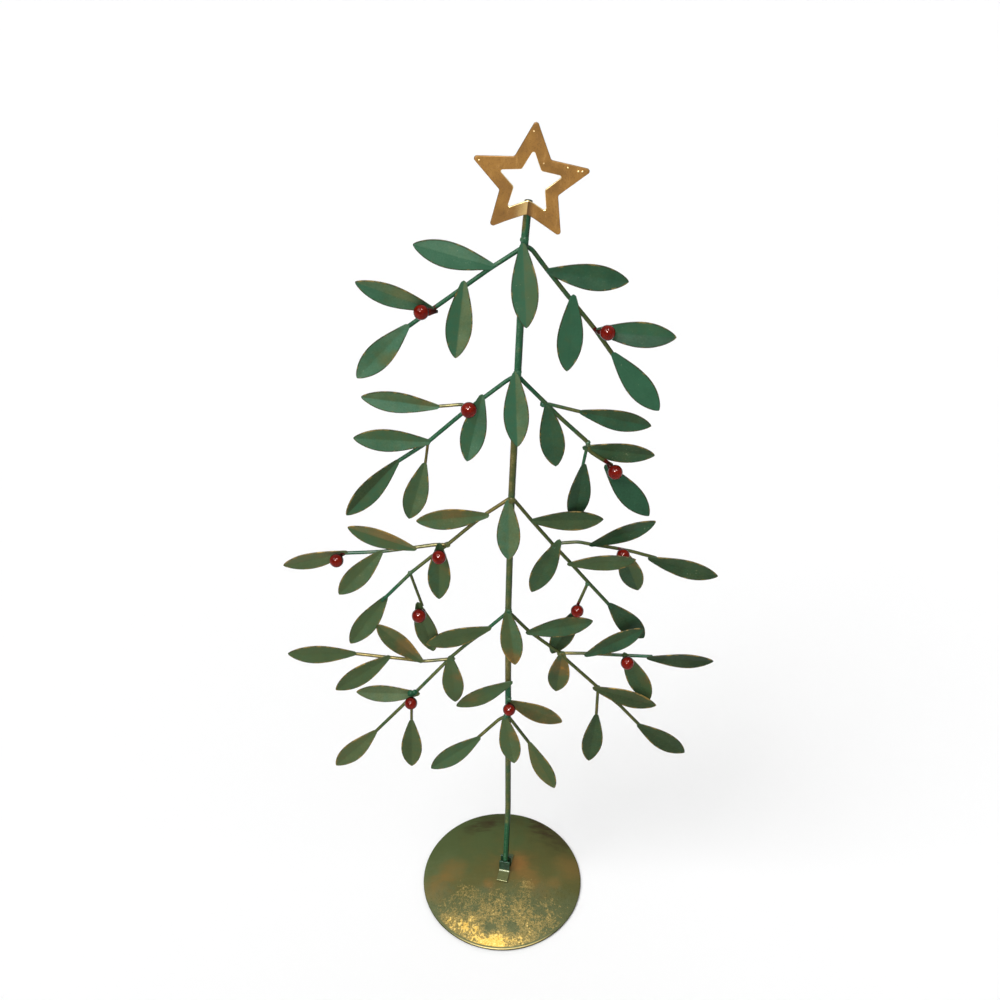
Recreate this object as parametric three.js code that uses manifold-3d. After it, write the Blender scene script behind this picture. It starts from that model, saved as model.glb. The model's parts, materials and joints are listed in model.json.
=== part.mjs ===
// A tabletop mistletoe tree of painted sheet metal and wire, with red berries and a gold star.
// Millimetres, +Z up, +X to the right of someone who faces the tree. They stand on the -Y side.
// The origin is the centre of the round base, on the table.
import * as THREE from "three";
import { mergeVertices } from "three/addons/utils/BufferGeometryUtils.js";
import Module from "manifold-3d";

const wasm = await Module();
wasm.setup();

// ---- Driving dimensions ----

const GAP = 0.3; // clearance between pieces that touch
const FAR = 30; // further than anything reaches from the tree's plane

const BASE_RADIUS = 63.3;
const BASE_HEIGHT = 10;
const BASE_SHEET = 1.8;
const BASE_SIDES = 40;
const DOME_RINGS = [0, 0.2, 0.4, 0.6, 0.8, 0.94]; // as shares of the dome's radius
const HEM_HEIGHT = 2.2; // the rolled edge that the base stands on
const HEM_WIDTH = 4;
const HEM_SHEET = 0.9; // the edge's thickness where the hollow starts
const HEM_ROUNDING = 0.5; // how far its flat underside lies inside its widest place

const TREE_PLACE = [-0.5, 2.8]; // x and y of the tree's own plane from the base's centre

// The rod's bends as [x, z] in the tree's plane, where the routes and leaves below lie too.
const ROD_RADIUS = 2;
const ROD_SIDES = 8;
const ROD_FOOT = [3, BASE_HEIGHT + GAP];
const ROD_ROUTE = [ROD_FOOT, [5, 80], [4.5, 281], [5.9, 371], [9, 459], [12, 541], [13.5, 565.5]];
const WELD_RADIUS = 2.8; // the weld beads where branches leave the rod
const WELDS = [[12, 543], [9.2, 462.5], [6, 374], [4.6, 284], [4.7, 201]];

const BRACKET_WIDTH = 8.4;
const BRACKET_HEIGHT = 11.5;
const BRACKET_REACH = 13; // from the rod's axis to the end of the foot
const BRACKET_SHEET = 1.2;
const BRACKET_FILLET = 0.8; // in the corner between its leg and its foot
const BRACKET_TURN = 12; // degrees that the pair of brackets is turned about the rod

const WIRE_RADIUS = 1.1;
const WIRE_SIDES = 6;
const WIRE_UNDER_LEAF = 4; // how far a wire runs on behind the leaf at its end
const TWIG_WELD_RADIUS = 1.9;

const LEAF_LENGTH = 46.5;
const LEAF_WIDTH = 15;
const LEAF_SHEET = 0.8;
const LEAF_FOLD = 10; // degrees that each half is folded up from the midrib
const LEAF_NECK = 2.6; // width at the root
const LEAF_POINT = 0.5; // width at the very tip
const LEAF_FULLNESS = 1.2; // over 1 puts the widest place past the middle
const LEAF_BLUNTNESS = 0.85; // under 1 rounds the tip
const LEAF_STATIONS = [0, 0.12, 0.29, 0.49, 0.69, 0.87, 1];
const LEAF_ON_WIRE = -0.9; // how far in front of the tree's plane a leaf lies on its wire
const LEAF_ON_ROD = -(ROD_RADIUS + GAP + LEAF_SHEET / 2);

const BERRY_RADIUS = 4.6;
const BERRY_SEAT = 4; // from the berry's centre back to the flat that it is welded on by
const BERRY_FOOT = 2.6; // how far round that flat the stem must be clear of the berry
const STALK_RADIUS = 1.5; // the red-dipped nub that a berry is welded on by

const STAR_CENTRE = [14.4, 572.8];
const STAR_TURN = -6; // degrees, so it leans to the right
const STAR_TIP = 31.7;
const STAR_NOTCH = 16.3;
const STAR_HOLE_TIP = 17.2;
const STAR_HOLE_NOTCH = 8.6;
const STAR_SHEET = 1.2;
const STAR_CREASE = 1.6; // how far the lowest notch is pushed out over the rod
const STAR_ROUNDING = 0.9; // how far the tips' corners lie inside the point
const STAR_TIP_TURN = 2.5; // degrees from the point to each of its corners

// ---- The layout of the branches, seen from the front ----
// Wires are routes of [x, z]. A wire after the first is a side twig, welded on where it starts.
// A leaf is [x, z, direction, tilt, lean]: its root, its direction in degrees (0 right, 90 up),
// how far its tip comes forward and how far it is rolled about its length, both in degrees.
// A sixth number puts its root at another depth.

const BRANCHES = [
  {
    name: "branch_1_left",
    wires: [[[12, 538], [-7, 525], [-53, 490]]],
    leaves: [
      [-4, 526, 164, -1, -4],
      [-21, 518, -97, 4, 0],
      [-38, 501, 156, 5, 8],
      [-53, 491, -133, 0, -8],
    ],
  },
  {
    name: "branch_1_right",
    wires: [[[12, 538], [17, 536], [25, 524], [37, 508], [52, 489], [63, 473]]],
    leaves: [
      [24, 523.5, -8, -1, 5],
      [39, 509, -93, 4, 8],
      [53, 488, -5, 1, 12],
      [63, 474, -51, 5, 4],
    ],
  },
  {
    name: "branch_2_left",
    wires: [
      [[9, 459], [3, 456], [-11, 444], [-25, 432], [-44, 414], [-52, 408], [-63, 400]],
      [[-20, 437], [-25, 440], [-37, 437]],
      [[-45, 413], [-47, 398]],
    ],
    leaves: [
      [-37, 437, 170, 0, 7],
      [-12, 446, -102, 2, -5],
      [-42, 414, 174, 4, -5],
      [-63, 401, -138, 22, 10],
      [-47, 399, -105, -5, 0],
    ],
  },
  {
    name: "branch_2_right",
    wires: [
      [[9, 459], [13, 455], [25, 441], [35, 430], [52, 413], [53, 407], [64, 399]],
      [[27, 440], [47, 435]],
      [[52, 411], [50, 399]],
    ],
    leaves: [
      [46, 435, -18, -7, -2],
      [27, 440, -81, -3, -1],
      [50, 411, -13, -7, -8],
      [50, 400, -95, -6, 8],
      [64, 397.5, -51, 4, 0],
    ],
  },
  {
    name: "branch_3_left",
    wires: [
      [[6, 373], [-10, 360], [-20, 351], [-35, 336], [-47, 325], [-59, 314], [-77, 293]],
      [[-35, 336], [-43, 336], [-55, 334], [-78, 331], [-100, 330]],
      [[-58, 314], [-54, 289]],
    ],
    leaves: [
      [-8, 360, -175, 1, -3],
      [-54, 333, 160, -3, 6],
      [-77, 332, -131, 2, -2],
      [-100, 331, -161, -6, 12],
      [-40, 338, -92, 0, 0],
      [-76, 293, -127, 2, 3, 0.9],
      [-56, 290, -79, -3, -6, -0.6],
    ],
  },
  {
    name: "branch_3_right",
    wires: [
      [[6, 373], [9, 370], [19, 356], [33, 336], [44, 322], [57, 305], [71, 287]],
      [[33, 335], [38, 338], [49, 339], [57, 337], [72, 334], [84, 331], [96, 327]],
      [[57, 304], [51, 285]],
    ],
    leaves: [
      [18, 355, 0, -2, 0],
      [37, 340, -113, 0, 3],
      [56, 336, 30, 5, -13],
      [95, 326, -11, 9, -5],
      [43.5, 321.5, 14, 13, -9],
      [76, 333, -71, -13, -4],
      [51, 284, -111, -3, 0, 1.4],
      [71, 288, -54, -9, 7],
    ],
  },
  {
    name: "branch_4_left",
    wires: [
      [[4.5, 280], [-9, 265], [-24, 251], [-34, 238], [-59, 205], [-71, 192], [-91, 167]],
      [[-34, 238], [-54, 236], [-69, 238], [-79, 239], [-99, 242]],
      [[-64, 200], [-65, 178]],
    ],
    leaves: [
      [-7, 266.5, -165, 4, -2],
      [-54, 235, 130, 4, -2],
      [-78, 241, -149, 10, -3, -0.5],
      [-100, 243, 174, 7, -4],
      [-36, 241, -85, 0, -5],
      [-59, 205, -175, -7, -5],
      [-65, 179, -92, 2, 2],
      [-91, 168, -133, 3, -3],
    ],
  },
  {
    name: "branch_4_right",
    wires: [
      [[4.5, 280], [18, 263], [32, 250], [40, 243], [46, 236], [68, 211], [84, 193], [98, 175]],
      [[40, 243], [57, 243], [84, 241], [100, 240]],
      [[68, 210], [68, 184]],
    ],
    leaves: [
      [17, 262, 13, -1, 7],
      [57, 241, 32, 1, 0],
      [100, 239, -3, 1, -4],
      [84, 244, -64, 5, -5],
      [42, 245, -94, -10, -5],
      [64, 211, -12, 10, 0],
      [68, 184, -94, 2, 2],
      [98, 173, -37, 1, 5],
    ],
  },
];

// Leaves welded straight on the front of the rod, each on its own.
const ROD_LEAVES = [
  ["rod_leaf_1", [11, 541, -87, 15, -1]],
  ["rod_leaf_2", [7.5, 463, -88, 11, -5]],
  ["rod_leaf_3", [4, 373, -87, 1, -3]],
  ["rod_leaf_4", [3.5, 284, -83, 5, -4]],
  ["rod_leaf_5_left", [7.5, 217, -149, 0, -5]],
  ["rod_leaf_5_right", [4.5, 199.5, -32, -4, 5]],
];

// The lowest sprig: a leaf between two stems that each end in a leaf, on the front of the rod.
const SPRIG_DEPTH = -(ROD_RADIUS + GAP + WIRE_RADIUS);
const SPRIG = {
  name: "sprig_5",
  wires: [[[3, 185], [-1, 182], [-15, 165]], [[3, 185], [6, 183], [20, 158]]],
  leaves: [
    [1, 186, -79, 3, -4],
    [-15.5, 165, -142, 5, -9],
    [20, 159, -64, 8, -12],
  ],
};

// A berry is [centre x, centre z] and the point on its stem that it is welded to.
const BERRIES = [
  { name: "berry_1_left", at: [-45, 502], root: [-39, 500], on: "branch_1_left" },
  { name: "berry_1_right", at: [59, 489], root: [53, 488], on: "branch_1_right" },
  { name: "berry_2_left", at: [-19, 439], root: [-20, 437], on: "branch_2_left" },
  { name: "berry_2_right", at: [69, 395], root: [64, 400], on: "branch_2_right" },
  { name: "berry_3_left_end", at: [-106, 328], root: [-100, 330], on: "branch_3_left" },
  { name: "berry_3_left_joint", at: [-41, 330], root: [-41, 332], on: "branch_3_left" },
  { name: "berry_3_left_low", at: [-55, 281], root: [-55, 288], on: "branch_3_left" },
  {
    name: "berry_3_right", // half hidden behind a leaf, so its own back is cut flatter
    at: [77.5, 333.5],
    root: [76, 332],
    on: "branch_3_right",
    seat: -1.8,
    depth: -3.1,
  },
  { name: "berry_3_right_low", at: [50, 285], root: [51, 287], on: "branch_3_right" },
  { name: "berry_4_left", at: [-64, 200], root: [-64, 202], on: "branch_4_left" },
  { name: "berry_4_right", at: [86, 239], root: [85, 241], on: "branch_4_right" },
  { name: "berry_5", at: [5, 194], root: [5, 197], on: "rod_leaf_5_right" },
];

// ---- Materials ----

function paint(color, roughness, metalness) {
  return new THREE.MeshStandardMaterial({ color, roughness, metalness });
}

const LEAF_GREEN = paint("#3f7050", 0.5, 0.35);
const STEM_GREEN = paint("#4d6a48", 0.5, 0.4);
const BERRY_RED = paint("#9c1a12", 0.18, 0);
const STAR_GOLD = paint("#8d662f", 0.4, 0.8);
const BASE_OLIVE = paint("#77713f", 0.5, 0.5);

// ---- Solids ----

function solidOf(geometry) {
  const bare = geometry.clone();
  bare.deleteAttribute("normal");
  bare.deleteAttribute("uv");
  const merged = mergeVertices(bare, 1e-3);
  const vertProperties = merged.attributes.position.array;
  const triVerts = new Uint32Array(merged.index.array);
  return new wasm.Manifold(new wasm.Mesh({ numProp: 3, vertProperties, triVerts }));
}

function meshOf(name, solid, material) {
  const { vertProperties, triVerts } = solid.getMesh();
  const geometry = new THREE.BufferGeometry();
  geometry.setAttribute("position", new THREE.BufferAttribute(vertProperties, 3));
  geometry.setIndex(new THREE.BufferAttribute(triVerts, 1));
  const mesh = new THREE.Mesh(geometry, material);
  mesh.name = name;
  return mesh;
}

function fuse(solids) {
  return solids.reduce((whole, next) => whole.add(next));
}

function ball(radius, [x, z], y, detail) {
  const geometry = new THREE.IcosahedronGeometry(radius, detail);
  return solidOf(geometry.translate(x, y, z));
}

// A wire's centre line: straight runs between bends, with one step for each run.
class WireRoute extends THREE.Curve {
  constructor(route, y) {
    super();
    this.points = route.map(([x, z]) => new THREE.Vector3(x, y, z));
    this.runs = route.length - 1;
  }

  getPoint(t, target = new THREE.Vector3()) {
    const along = t * this.runs;
    const run = Math.min(Math.floor(along), this.runs - 1);
    return target.lerpVectors(this.points[run], this.points[run + 1], along - run);
  }

  getUtoTmapping(u) {
    return u;
  }
}

function wire(route, radius, sides, y = 0) {
  const section = new THREE.Shape();
  for (let side = 0; side < sides; side++) {
    const turn = (2 * Math.PI * side) / sides;
    const corner = [radius * Math.cos(turn), radius * Math.sin(turn)];
    if (side === 0) section.moveTo(...corner);
    else section.lineTo(...corner);
  }
  section.closePath();
  const extrudePath = new WireRoute(route, y);
  const steps = route.length - 1;
  return solidOf(new THREE.ExtrudeGeometry(section, { steps, extrudePath, curveSegments: 1 }));
}

// ---- Leaves ----

// Half the blade's width at a place from 0, the root, to 1, the tip.
function halfWidth(along) {
  const bulge = Math.sin(Math.PI * along ** LEAF_FULLNESS);
  const neck = (LEAF_NECK / 2) * (1 - along) ** 6;
  const point = (LEAF_POINT / 2) * along;
  return (LEAF_WIDTH / 2) * Math.max(bulge, 0) ** LEAF_BLUNTNESS + neck + point;
}

// A flat-backed blade, folded along its midrib: X runs along it, Y across, +Z is its front.
function bladeGeometry() {
  const rise = Math.tan(THREE.MathUtils.degToRad(LEAF_FOLD));
  const places = [];
  for (const along of LEAF_STATIONS) {
    const half = halfWidth(along);
    for (const face of [LEAF_SHEET / 2, -LEAF_SHEET / 2]) {
      for (const across of [-half, 0, half]) {
        places.push(along * LEAF_LENGTH, across, face + Math.abs(across) * rise);
      }
    }
  }
  const corners = [];
  const quad = (a, b, c, d) => corners.push(a, b, c, a, c, d);
  for (let row = 0; row < LEAF_STATIONS.length - 1; row++) {
    const near = row * 6;
    const far = near + 6;
    for (const column of [0, 1]) {
      quad(near + column, far + column, far + column + 1, near + column + 1);
      quad(near + column + 4, far + column + 4, far + column + 3, near + column + 3);
    }
    quad(near + 3, far + 3, far, near);
    quad(near + 2, far + 2, far + 5, near + 5);
  }
  const last = (LEAF_STATIONS.length - 1) * 6;
  for (const column of [0, 1]) {
    quad(column + 3, column, column + 1, column + 4);
    quad(last + column, last + column + 3, last + column + 4, last + column + 1);
  }
  const geometry = new THREE.BufferGeometry();
  geometry.setAttribute("position", new THREE.Float32BufferAttribute(places, 3));
  return geometry.setIndex(corners);
}

const BLADE = bladeGeometry();

function leaf([x, z, direction, tilt, lean, depth], usualDepth) {
  const turn = THREE.MathUtils.degToRad(direction);
  const lift = THREE.MathUtils.degToRad(tilt);
  const level = Math.cos(lift);
  const along = new THREE.Vector3(Math.cos(turn) * level, -Math.sin(lift), Math.sin(turn) * level);
  const front = new THREE.Vector3(0, -1, 0).projectOnPlane(along).normalize();
  front.applyAxisAngle(along, -THREE.MathUtils.degToRad(lean));
  const across = new THREE.Vector3().crossVectors(front, along);
  const place = new THREE.Matrix4().makeBasis(along, across, front);
  place.setPosition(x, depth ?? usualDepth, z);
  return solidOf(BLADE.clone().applyMatrix4(place));
}

// ---- Sub-parts ----

// A shallow part of a sphere, hollow beneath, with a flat-bottomed edge round it.
function base() {
  const edge = BASE_RADIUS - 2 * HEM_ROUNDING;
  const inner = BASE_RADIUS - HEM_WIDTH;
  const rise = BASE_HEIGHT - HEM_HEIGHT;
  const sphere = (edge * edge + rise * rise) / (2 * rise);
  const domeTop = (r) => BASE_HEIGHT - sphere + Math.sqrt(sphere * sphere - r * r);
  const outside = DOME_RINGS.map((share) => [share * edge, domeTop(share * edge)]);
  const under = outside.map(([r, z]) => [r, z - BASE_SHEET]).filter(([r]) => r < inner - 1);
  const hem = [
    [edge, HEM_HEIGHT],
    [BASE_RADIUS, HEM_HEIGHT / 2],
    [BASE_RADIUS - HEM_ROUNDING, 0],
    [inner, 0],
    [inner, HEM_SHEET],
  ];
  const outline = [...outside, ...hem, ...under.reverse()].reverse();
  const profile = outline.map(([r, z]) => new THREE.Vector2(r, z));
  const lathe = new THREE.LatheGeometry(profile, BASE_SIDES).rotateX(Math.PI / 2);
  return meshOf("base", solidOf(lathe), BASE_OLIVE);
}

// An L of sheet metal. It stands against the rod, and its foot lies on the base.
function bracket(name, turn) {
  const inner = ROD_RADIUS + GAP;
  const outer = inner + BRACKET_SHEET;
  const profile = new THREE.Shape();
  profile.moveTo(inner, 0);
  profile.lineTo(BRACKET_REACH, 0);
  profile.lineTo(BRACKET_REACH, BRACKET_SHEET);
  profile.lineTo(outer + BRACKET_FILLET, BRACKET_SHEET);
  profile.lineTo(outer, BRACKET_SHEET + BRACKET_FILLET);
  profile.lineTo(outer, BRACKET_HEIGHT);
  profile.lineTo(inner, BRACKET_HEIGHT);
  profile.closePath();
  const options = { depth: BRACKET_WIDTH, bevelEnabled: false, steps: 1 };
  const geometry = new THREE.ExtrudeGeometry(profile, options);
  geometry.translate(0, 0, -BRACKET_WIDTH / 2).rotateX(Math.PI / 2);
  geometry.rotateZ(THREE.MathUtils.degToRad(turn)).translate(ROD_FOOT[0], 0, ROD_FOOT[1]);
  return meshOf(name, solidOf(geometry), BASE_OLIVE);
}

function rod() {
  const beads = WELDS.map((place) => ball(WELD_RADIUS, place, 0, 1));
  return fuse([wire(ROD_ROUTE, ROD_RADIUS, ROD_SIDES), ...beads]);
}

// The rod and its beads, thicker by the gap that the branches keep to them.
function rodClearance() {
  const beads = WELDS.map((place) => ball(WELD_RADIUS + GAP, place, 0, 1));
  return fuse([wire(ROD_ROUTE, ROD_RADIUS + 1.1 * GAP, ROD_SIDES), ...beads]);
}

// A route whose last run is longer, so that the wire backs the leaf at its end.
function runOn(route) {
  const [[x1, z1], [x2, z2]] = route.slice(-2);
  const stretch = WIRE_UNDER_LEAF / Math.hypot(x2 - x1, z2 - z1);
  return [...route.slice(0, -1), [x2 + (x2 - x1) * stretch, z2 + (z2 - z1) * stretch]];
}

function leafyBranch({ wires, leaves }, wireDepth, leafDepth) {
  const stems = wires.map((route) => wire(runOn(route), WIRE_RADIUS, WIRE_SIDES, wireDepth));
  const welds = wires.slice(1).map((route) => ball(TWIG_WELD_RADIUS, route[0], wireDepth, 0));
  const blades = leaves.map((place) => leaf(place, leafDepth));
  return fuse([...stems, ...welds, ...blades]);
}

// The size and middle of the rectangle from one [x, z] to another, with a margin.
function footprint([x1, z1], [x2, z2], margin) {
  const size = [Math.abs(x2 - x1) + 2 * margin, Math.abs(z2 - z1) + 2 * margin];
  return { size, middle: [(x1 + x2) / 2, (z1 + z2) / 2] };
}

// A box over such a rectangle, from its front's y to a depth behind that.
function block({ size, middle }, front, depth) {
  const box = new THREE.BoxGeometry(size[0], depth, size[1]);
  return solidOf(box.translate(middle[0], front + depth / 2, middle[1]));
}

// How far forward a stem reaches under a berry and its stalk.
function frontOf(stem, foot) {
  return stem.intersect(block(foot, -FAR, 2 * FAR)).boundingBox().min[1];
}

function berry({ at, root, seat, depth }, stem) {
  const foot = footprint(at, root, BERRY_FOOT);
  const back = seat ?? frontOf(stem, foot) - GAP;
  const centre = new THREE.Vector3(at[0], depth ?? back - BERRY_SEAT, at[1]);
  const weld = new THREE.Vector3(root[0], back, root[1]);
  const along = new THREE.Vector3().subVectors(weld, centre);
  const upright = new THREE.Vector3(0, 1, 0);
  const turn = new THREE.Quaternion().setFromUnitVectors(upright, along.clone().normalize());
  const stalk = new THREE.CylinderGeometry(STALK_RADIUS, STALK_RADIUS, along.length(), 6);
  stalk.translate(0, along.length() / 2, 0).applyQuaternion(turn).translate(...centre);
  const bead = new THREE.SphereGeometry(BERRY_RADIUS, 12, 7).translate(...centre);
  const behind = block(footprint(at, root, 2 * BERRY_RADIUS), back, FAR);
  return solidOf(bead).add(solidOf(stalk)).subtract(behind);
}

// The star's sheet as a ring of columns, four to an arm. Each is [turn, outer, inner] distance.
function starColumns() {
  const columns = [];
  for (let arm = 0; arm < 5; arm++) {
    const turn = arm * 72;
    const round = STAR_ROUNDING;
    columns.push([turn - STAR_TIP_TURN, STAR_TIP - round, STAR_HOLE_TIP - round]);
    columns.push([turn, STAR_TIP, STAR_HOLE_TIP]);
    columns.push([turn + STAR_TIP_TURN, STAR_TIP - round, STAR_HOLE_TIP - round]);
    columns.push([turn + 36, STAR_NOTCH, STAR_HOLE_NOTCH]);
  }
  return columns;
}

function star() {
  const columns = starColumns();
  const places = [];
  const corners = [];
  const quad = (a, b, c, d) => corners.push(a, b, c, a, c, d);
  columns.forEach(([degrees, outer, inner], index) => {
    const turn = THREE.MathUtils.degToRad(90 + degrees);
    const back = degrees === 180 ? STAR_CREASE : 0;
    for (const distance of [outer, inner]) {
      const [x, y] = [distance * Math.cos(turn), distance * Math.sin(turn)];
      places.push(x, y, back + STAR_SHEET, x, y, back);
    }
    const near = index * 4;
    const far = ((index + 1) % columns.length) * 4;
    quad(near, far, far + 2, near + 2);
    quad(near + 1, near + 3, far + 3, far + 1);
    quad(near, near + 1, far + 1, far);
    quad(near + 2, far + 2, far + 3, near + 3);
  });
  const geometry = new THREE.BufferGeometry();
  geometry.setAttribute("position", new THREE.Float32BufferAttribute(places, 3));
  geometry.setIndex(corners);
  geometry.rotateZ(THREE.MathUtils.degToRad(STAR_TURN)).rotateX(Math.PI / 2);
  const behind = STAR_CREASE - ROD_RADIUS - GAP;
  geometry.translate(STAR_CENTRE[0], behind, STAR_CENTRE[1]);
  return meshOf("star", solidOf(geometry), STAR_GOLD);
}

// ---- The tree on its base ----

const whole = new THREE.Group();
whole.add(base());

const tree = new THREE.Group();
tree.position.set(...TREE_PLACE, 0);
whole.add(tree);

tree.add(bracket("bracket_front", -90 - BRACKET_TURN));
tree.add(bracket("bracket_rear", 90 - BRACKET_TURN));
tree.add(meshOf("rod", rod(), STEM_GREEN));
tree.add(star());

const clearance = rodClearance();
const leafy = {};
for (const branch of BRANCHES) {
  leafy[branch.name] = leafyBranch(branch, 0, LEAF_ON_WIRE).subtract(clearance);
}
for (const [name, place] of ROD_LEAVES) {
  leafy[name] = leaf(place, LEAF_ON_ROD).subtract(clearance);
}
leafy[SPRIG.name] = leafyBranch(SPRIG, SPRIG_DEPTH, SPRIG_DEPTH + LEAF_ON_WIRE).subtract(clearance);
for (const [name, solid] of Object.entries(leafy)) {
  tree.add(meshOf(name, solid, LEAF_GREEN));
}
for (const place of BERRIES) {
  const stem = leafy[place.on].add(clearance);
  tree.add(meshOf(place.name, berry(place, stem), BERRY_RED));
}

export default whole;
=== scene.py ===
# %% [markdown]
# # A tabletop mistletoe tree of painted metal
# The real one is flat, about 60 cm high, and made by hand: a bent rod on a round domed base,
# thin wire branches, stamped and folded leaves welded to the front of the wires, red beads
# dipped in enamel, and a pierced star. It is sprayed green and then rubbed with brown and gold.
#
# The solids that were modelled in CAD come in first, as a fixed frame. Every piece below is
# made where one of them stands, finer than it, and takes its place in the picture.

# %% Load the frame
import json
import math
from collections import namedtuple

import bmesh
import bpy
from mathutils import Matrix, Vector, noise

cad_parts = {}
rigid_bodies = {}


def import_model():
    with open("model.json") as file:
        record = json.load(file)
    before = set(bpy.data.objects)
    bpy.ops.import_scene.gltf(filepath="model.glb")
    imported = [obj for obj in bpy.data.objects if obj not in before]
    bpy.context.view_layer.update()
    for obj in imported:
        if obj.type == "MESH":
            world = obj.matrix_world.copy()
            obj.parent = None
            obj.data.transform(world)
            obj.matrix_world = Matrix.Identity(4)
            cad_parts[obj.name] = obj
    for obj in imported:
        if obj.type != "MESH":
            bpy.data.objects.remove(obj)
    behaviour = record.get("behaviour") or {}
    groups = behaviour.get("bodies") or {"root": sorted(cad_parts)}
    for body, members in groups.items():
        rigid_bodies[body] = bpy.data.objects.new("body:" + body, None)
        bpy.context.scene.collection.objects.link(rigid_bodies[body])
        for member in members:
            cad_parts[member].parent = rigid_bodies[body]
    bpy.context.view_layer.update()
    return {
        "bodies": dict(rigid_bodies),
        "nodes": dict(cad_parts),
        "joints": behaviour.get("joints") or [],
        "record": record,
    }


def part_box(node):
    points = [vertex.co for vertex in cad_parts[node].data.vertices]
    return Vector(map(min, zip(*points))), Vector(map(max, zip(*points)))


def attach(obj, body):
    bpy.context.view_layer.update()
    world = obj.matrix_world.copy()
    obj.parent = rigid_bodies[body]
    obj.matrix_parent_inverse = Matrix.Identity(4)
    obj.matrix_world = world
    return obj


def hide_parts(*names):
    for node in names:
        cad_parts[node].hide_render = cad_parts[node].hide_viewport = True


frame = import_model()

MM = 0.001  # Blender works in metres, and a maker's drawing in millimetres

# %% [markdown]
# ## The camera
# The photograph looks down on the tree from in front, from a little above its star. The base's
# outline shows how steeply: a circle seen from there is an ellipse of just that shape. The
# picture was cropped off-centre, so the lens is shifted a little instead of turned.

# %% The camera
CAMERA_PLACE = Vector((-1.7, -547.5, 752.7)) * MM
CAMERA_DOWN = math.radians(32.725)
CAMERA_LENS = 38.6  # in mm, as the sensor's width
CAMERA_SENSOR = 36
CAMERA_SHIFT = -0.038
CAMERA_NEAREST = 10 * MM


def add_object(name, data):
    made = bpy.data.objects.new(name, data)
    bpy.context.scene.collection.objects.link(made)
    return made


def make_camera():
    data = bpy.data.cameras.new("camera")
    data.lens = CAMERA_LENS
    data.sensor_width = CAMERA_SENSOR
    data.shift_y = CAMERA_SHIFT
    data.clip_start = CAMERA_NEAREST
    camera = add_object("camera", data)
    camera.location = CAMERA_PLACE
    camera.rotation_euler = (math.pi / 2 - CAMERA_DOWN, 0, 0)
    bpy.context.scene.camera = camera


make_camera()
print("camera height in mm:", round(CAMERA_PLACE.z / MM))

# %% [markdown]
# ## Sums with colours and masks
# A paint here is worked out from masks: how worn, how far from the edge, how light. Blender does
# that with nodes, and a long row of Math nodes is hard to read. So a number that changes over the
# surface is wrapped in a class that knows plus, minus, times and power, also when the plain
# number stands first, and a formula in Python adds the Math nodes.


# %% Numbers that change over a surface
def sum_of(operation, turned=False):
    """The method for one kind of sum, turned round where the plain number stands first."""

    def method(number, other):
        first, second = (other, number) if turned else (number, other)
        return number.owner.node("ShaderNodeMath", {"operation": operation}, {0: first, 1: second})

    return method


class Number:
    def __init__(self, owner, socket):
        self.owner = owner
        self.socket = socket

    __add__ = sum_of("ADD")
    __radd__ = sum_of("ADD", turned=True)
    __sub__ = sum_of("SUBTRACT")
    __rsub__ = sum_of("SUBTRACT", turned=True)
    __mul__ = sum_of("MULTIPLY")
    __rmul__ = sum_of("MULTIPLY", turned=True)
    __pow__ = sum_of("POWER")
    __rpow__ = sum_of("POWER", turned=True)


# %% [markdown]
# ## A finish
# Every other node comes from one method, which takes the node's type, its settings and what goes
# into its sockets. A finish is a material that adds a few short words to it: a cloudy pattern, a
# soft threshold, a value that was painted on the mesh, and a colour laid over the ones before it.


# %% The finish
class Nodes:
    def __init__(self, owner):
        owner.use_nodes = True
        self.nodes = owner.node_tree.nodes
        self.links = owner.node_tree.links

    def node(self, kind, settings=None, inputs=None, output=0):
        made = self.nodes.new(kind)
        for name, value in (settings or {}).items():
            setattr(made, name, value)
        for name, value in (inputs or {}).items():
            self.feed(made.inputs[name], value)
        return Number(self, made.outputs[output])

    def feed(self, socket, value):
        if isinstance(value, Number):
            self.links.new(value.socket, socket)
        else:
            socket.default_value = colour(value) if isinstance(value, str) else value


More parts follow.
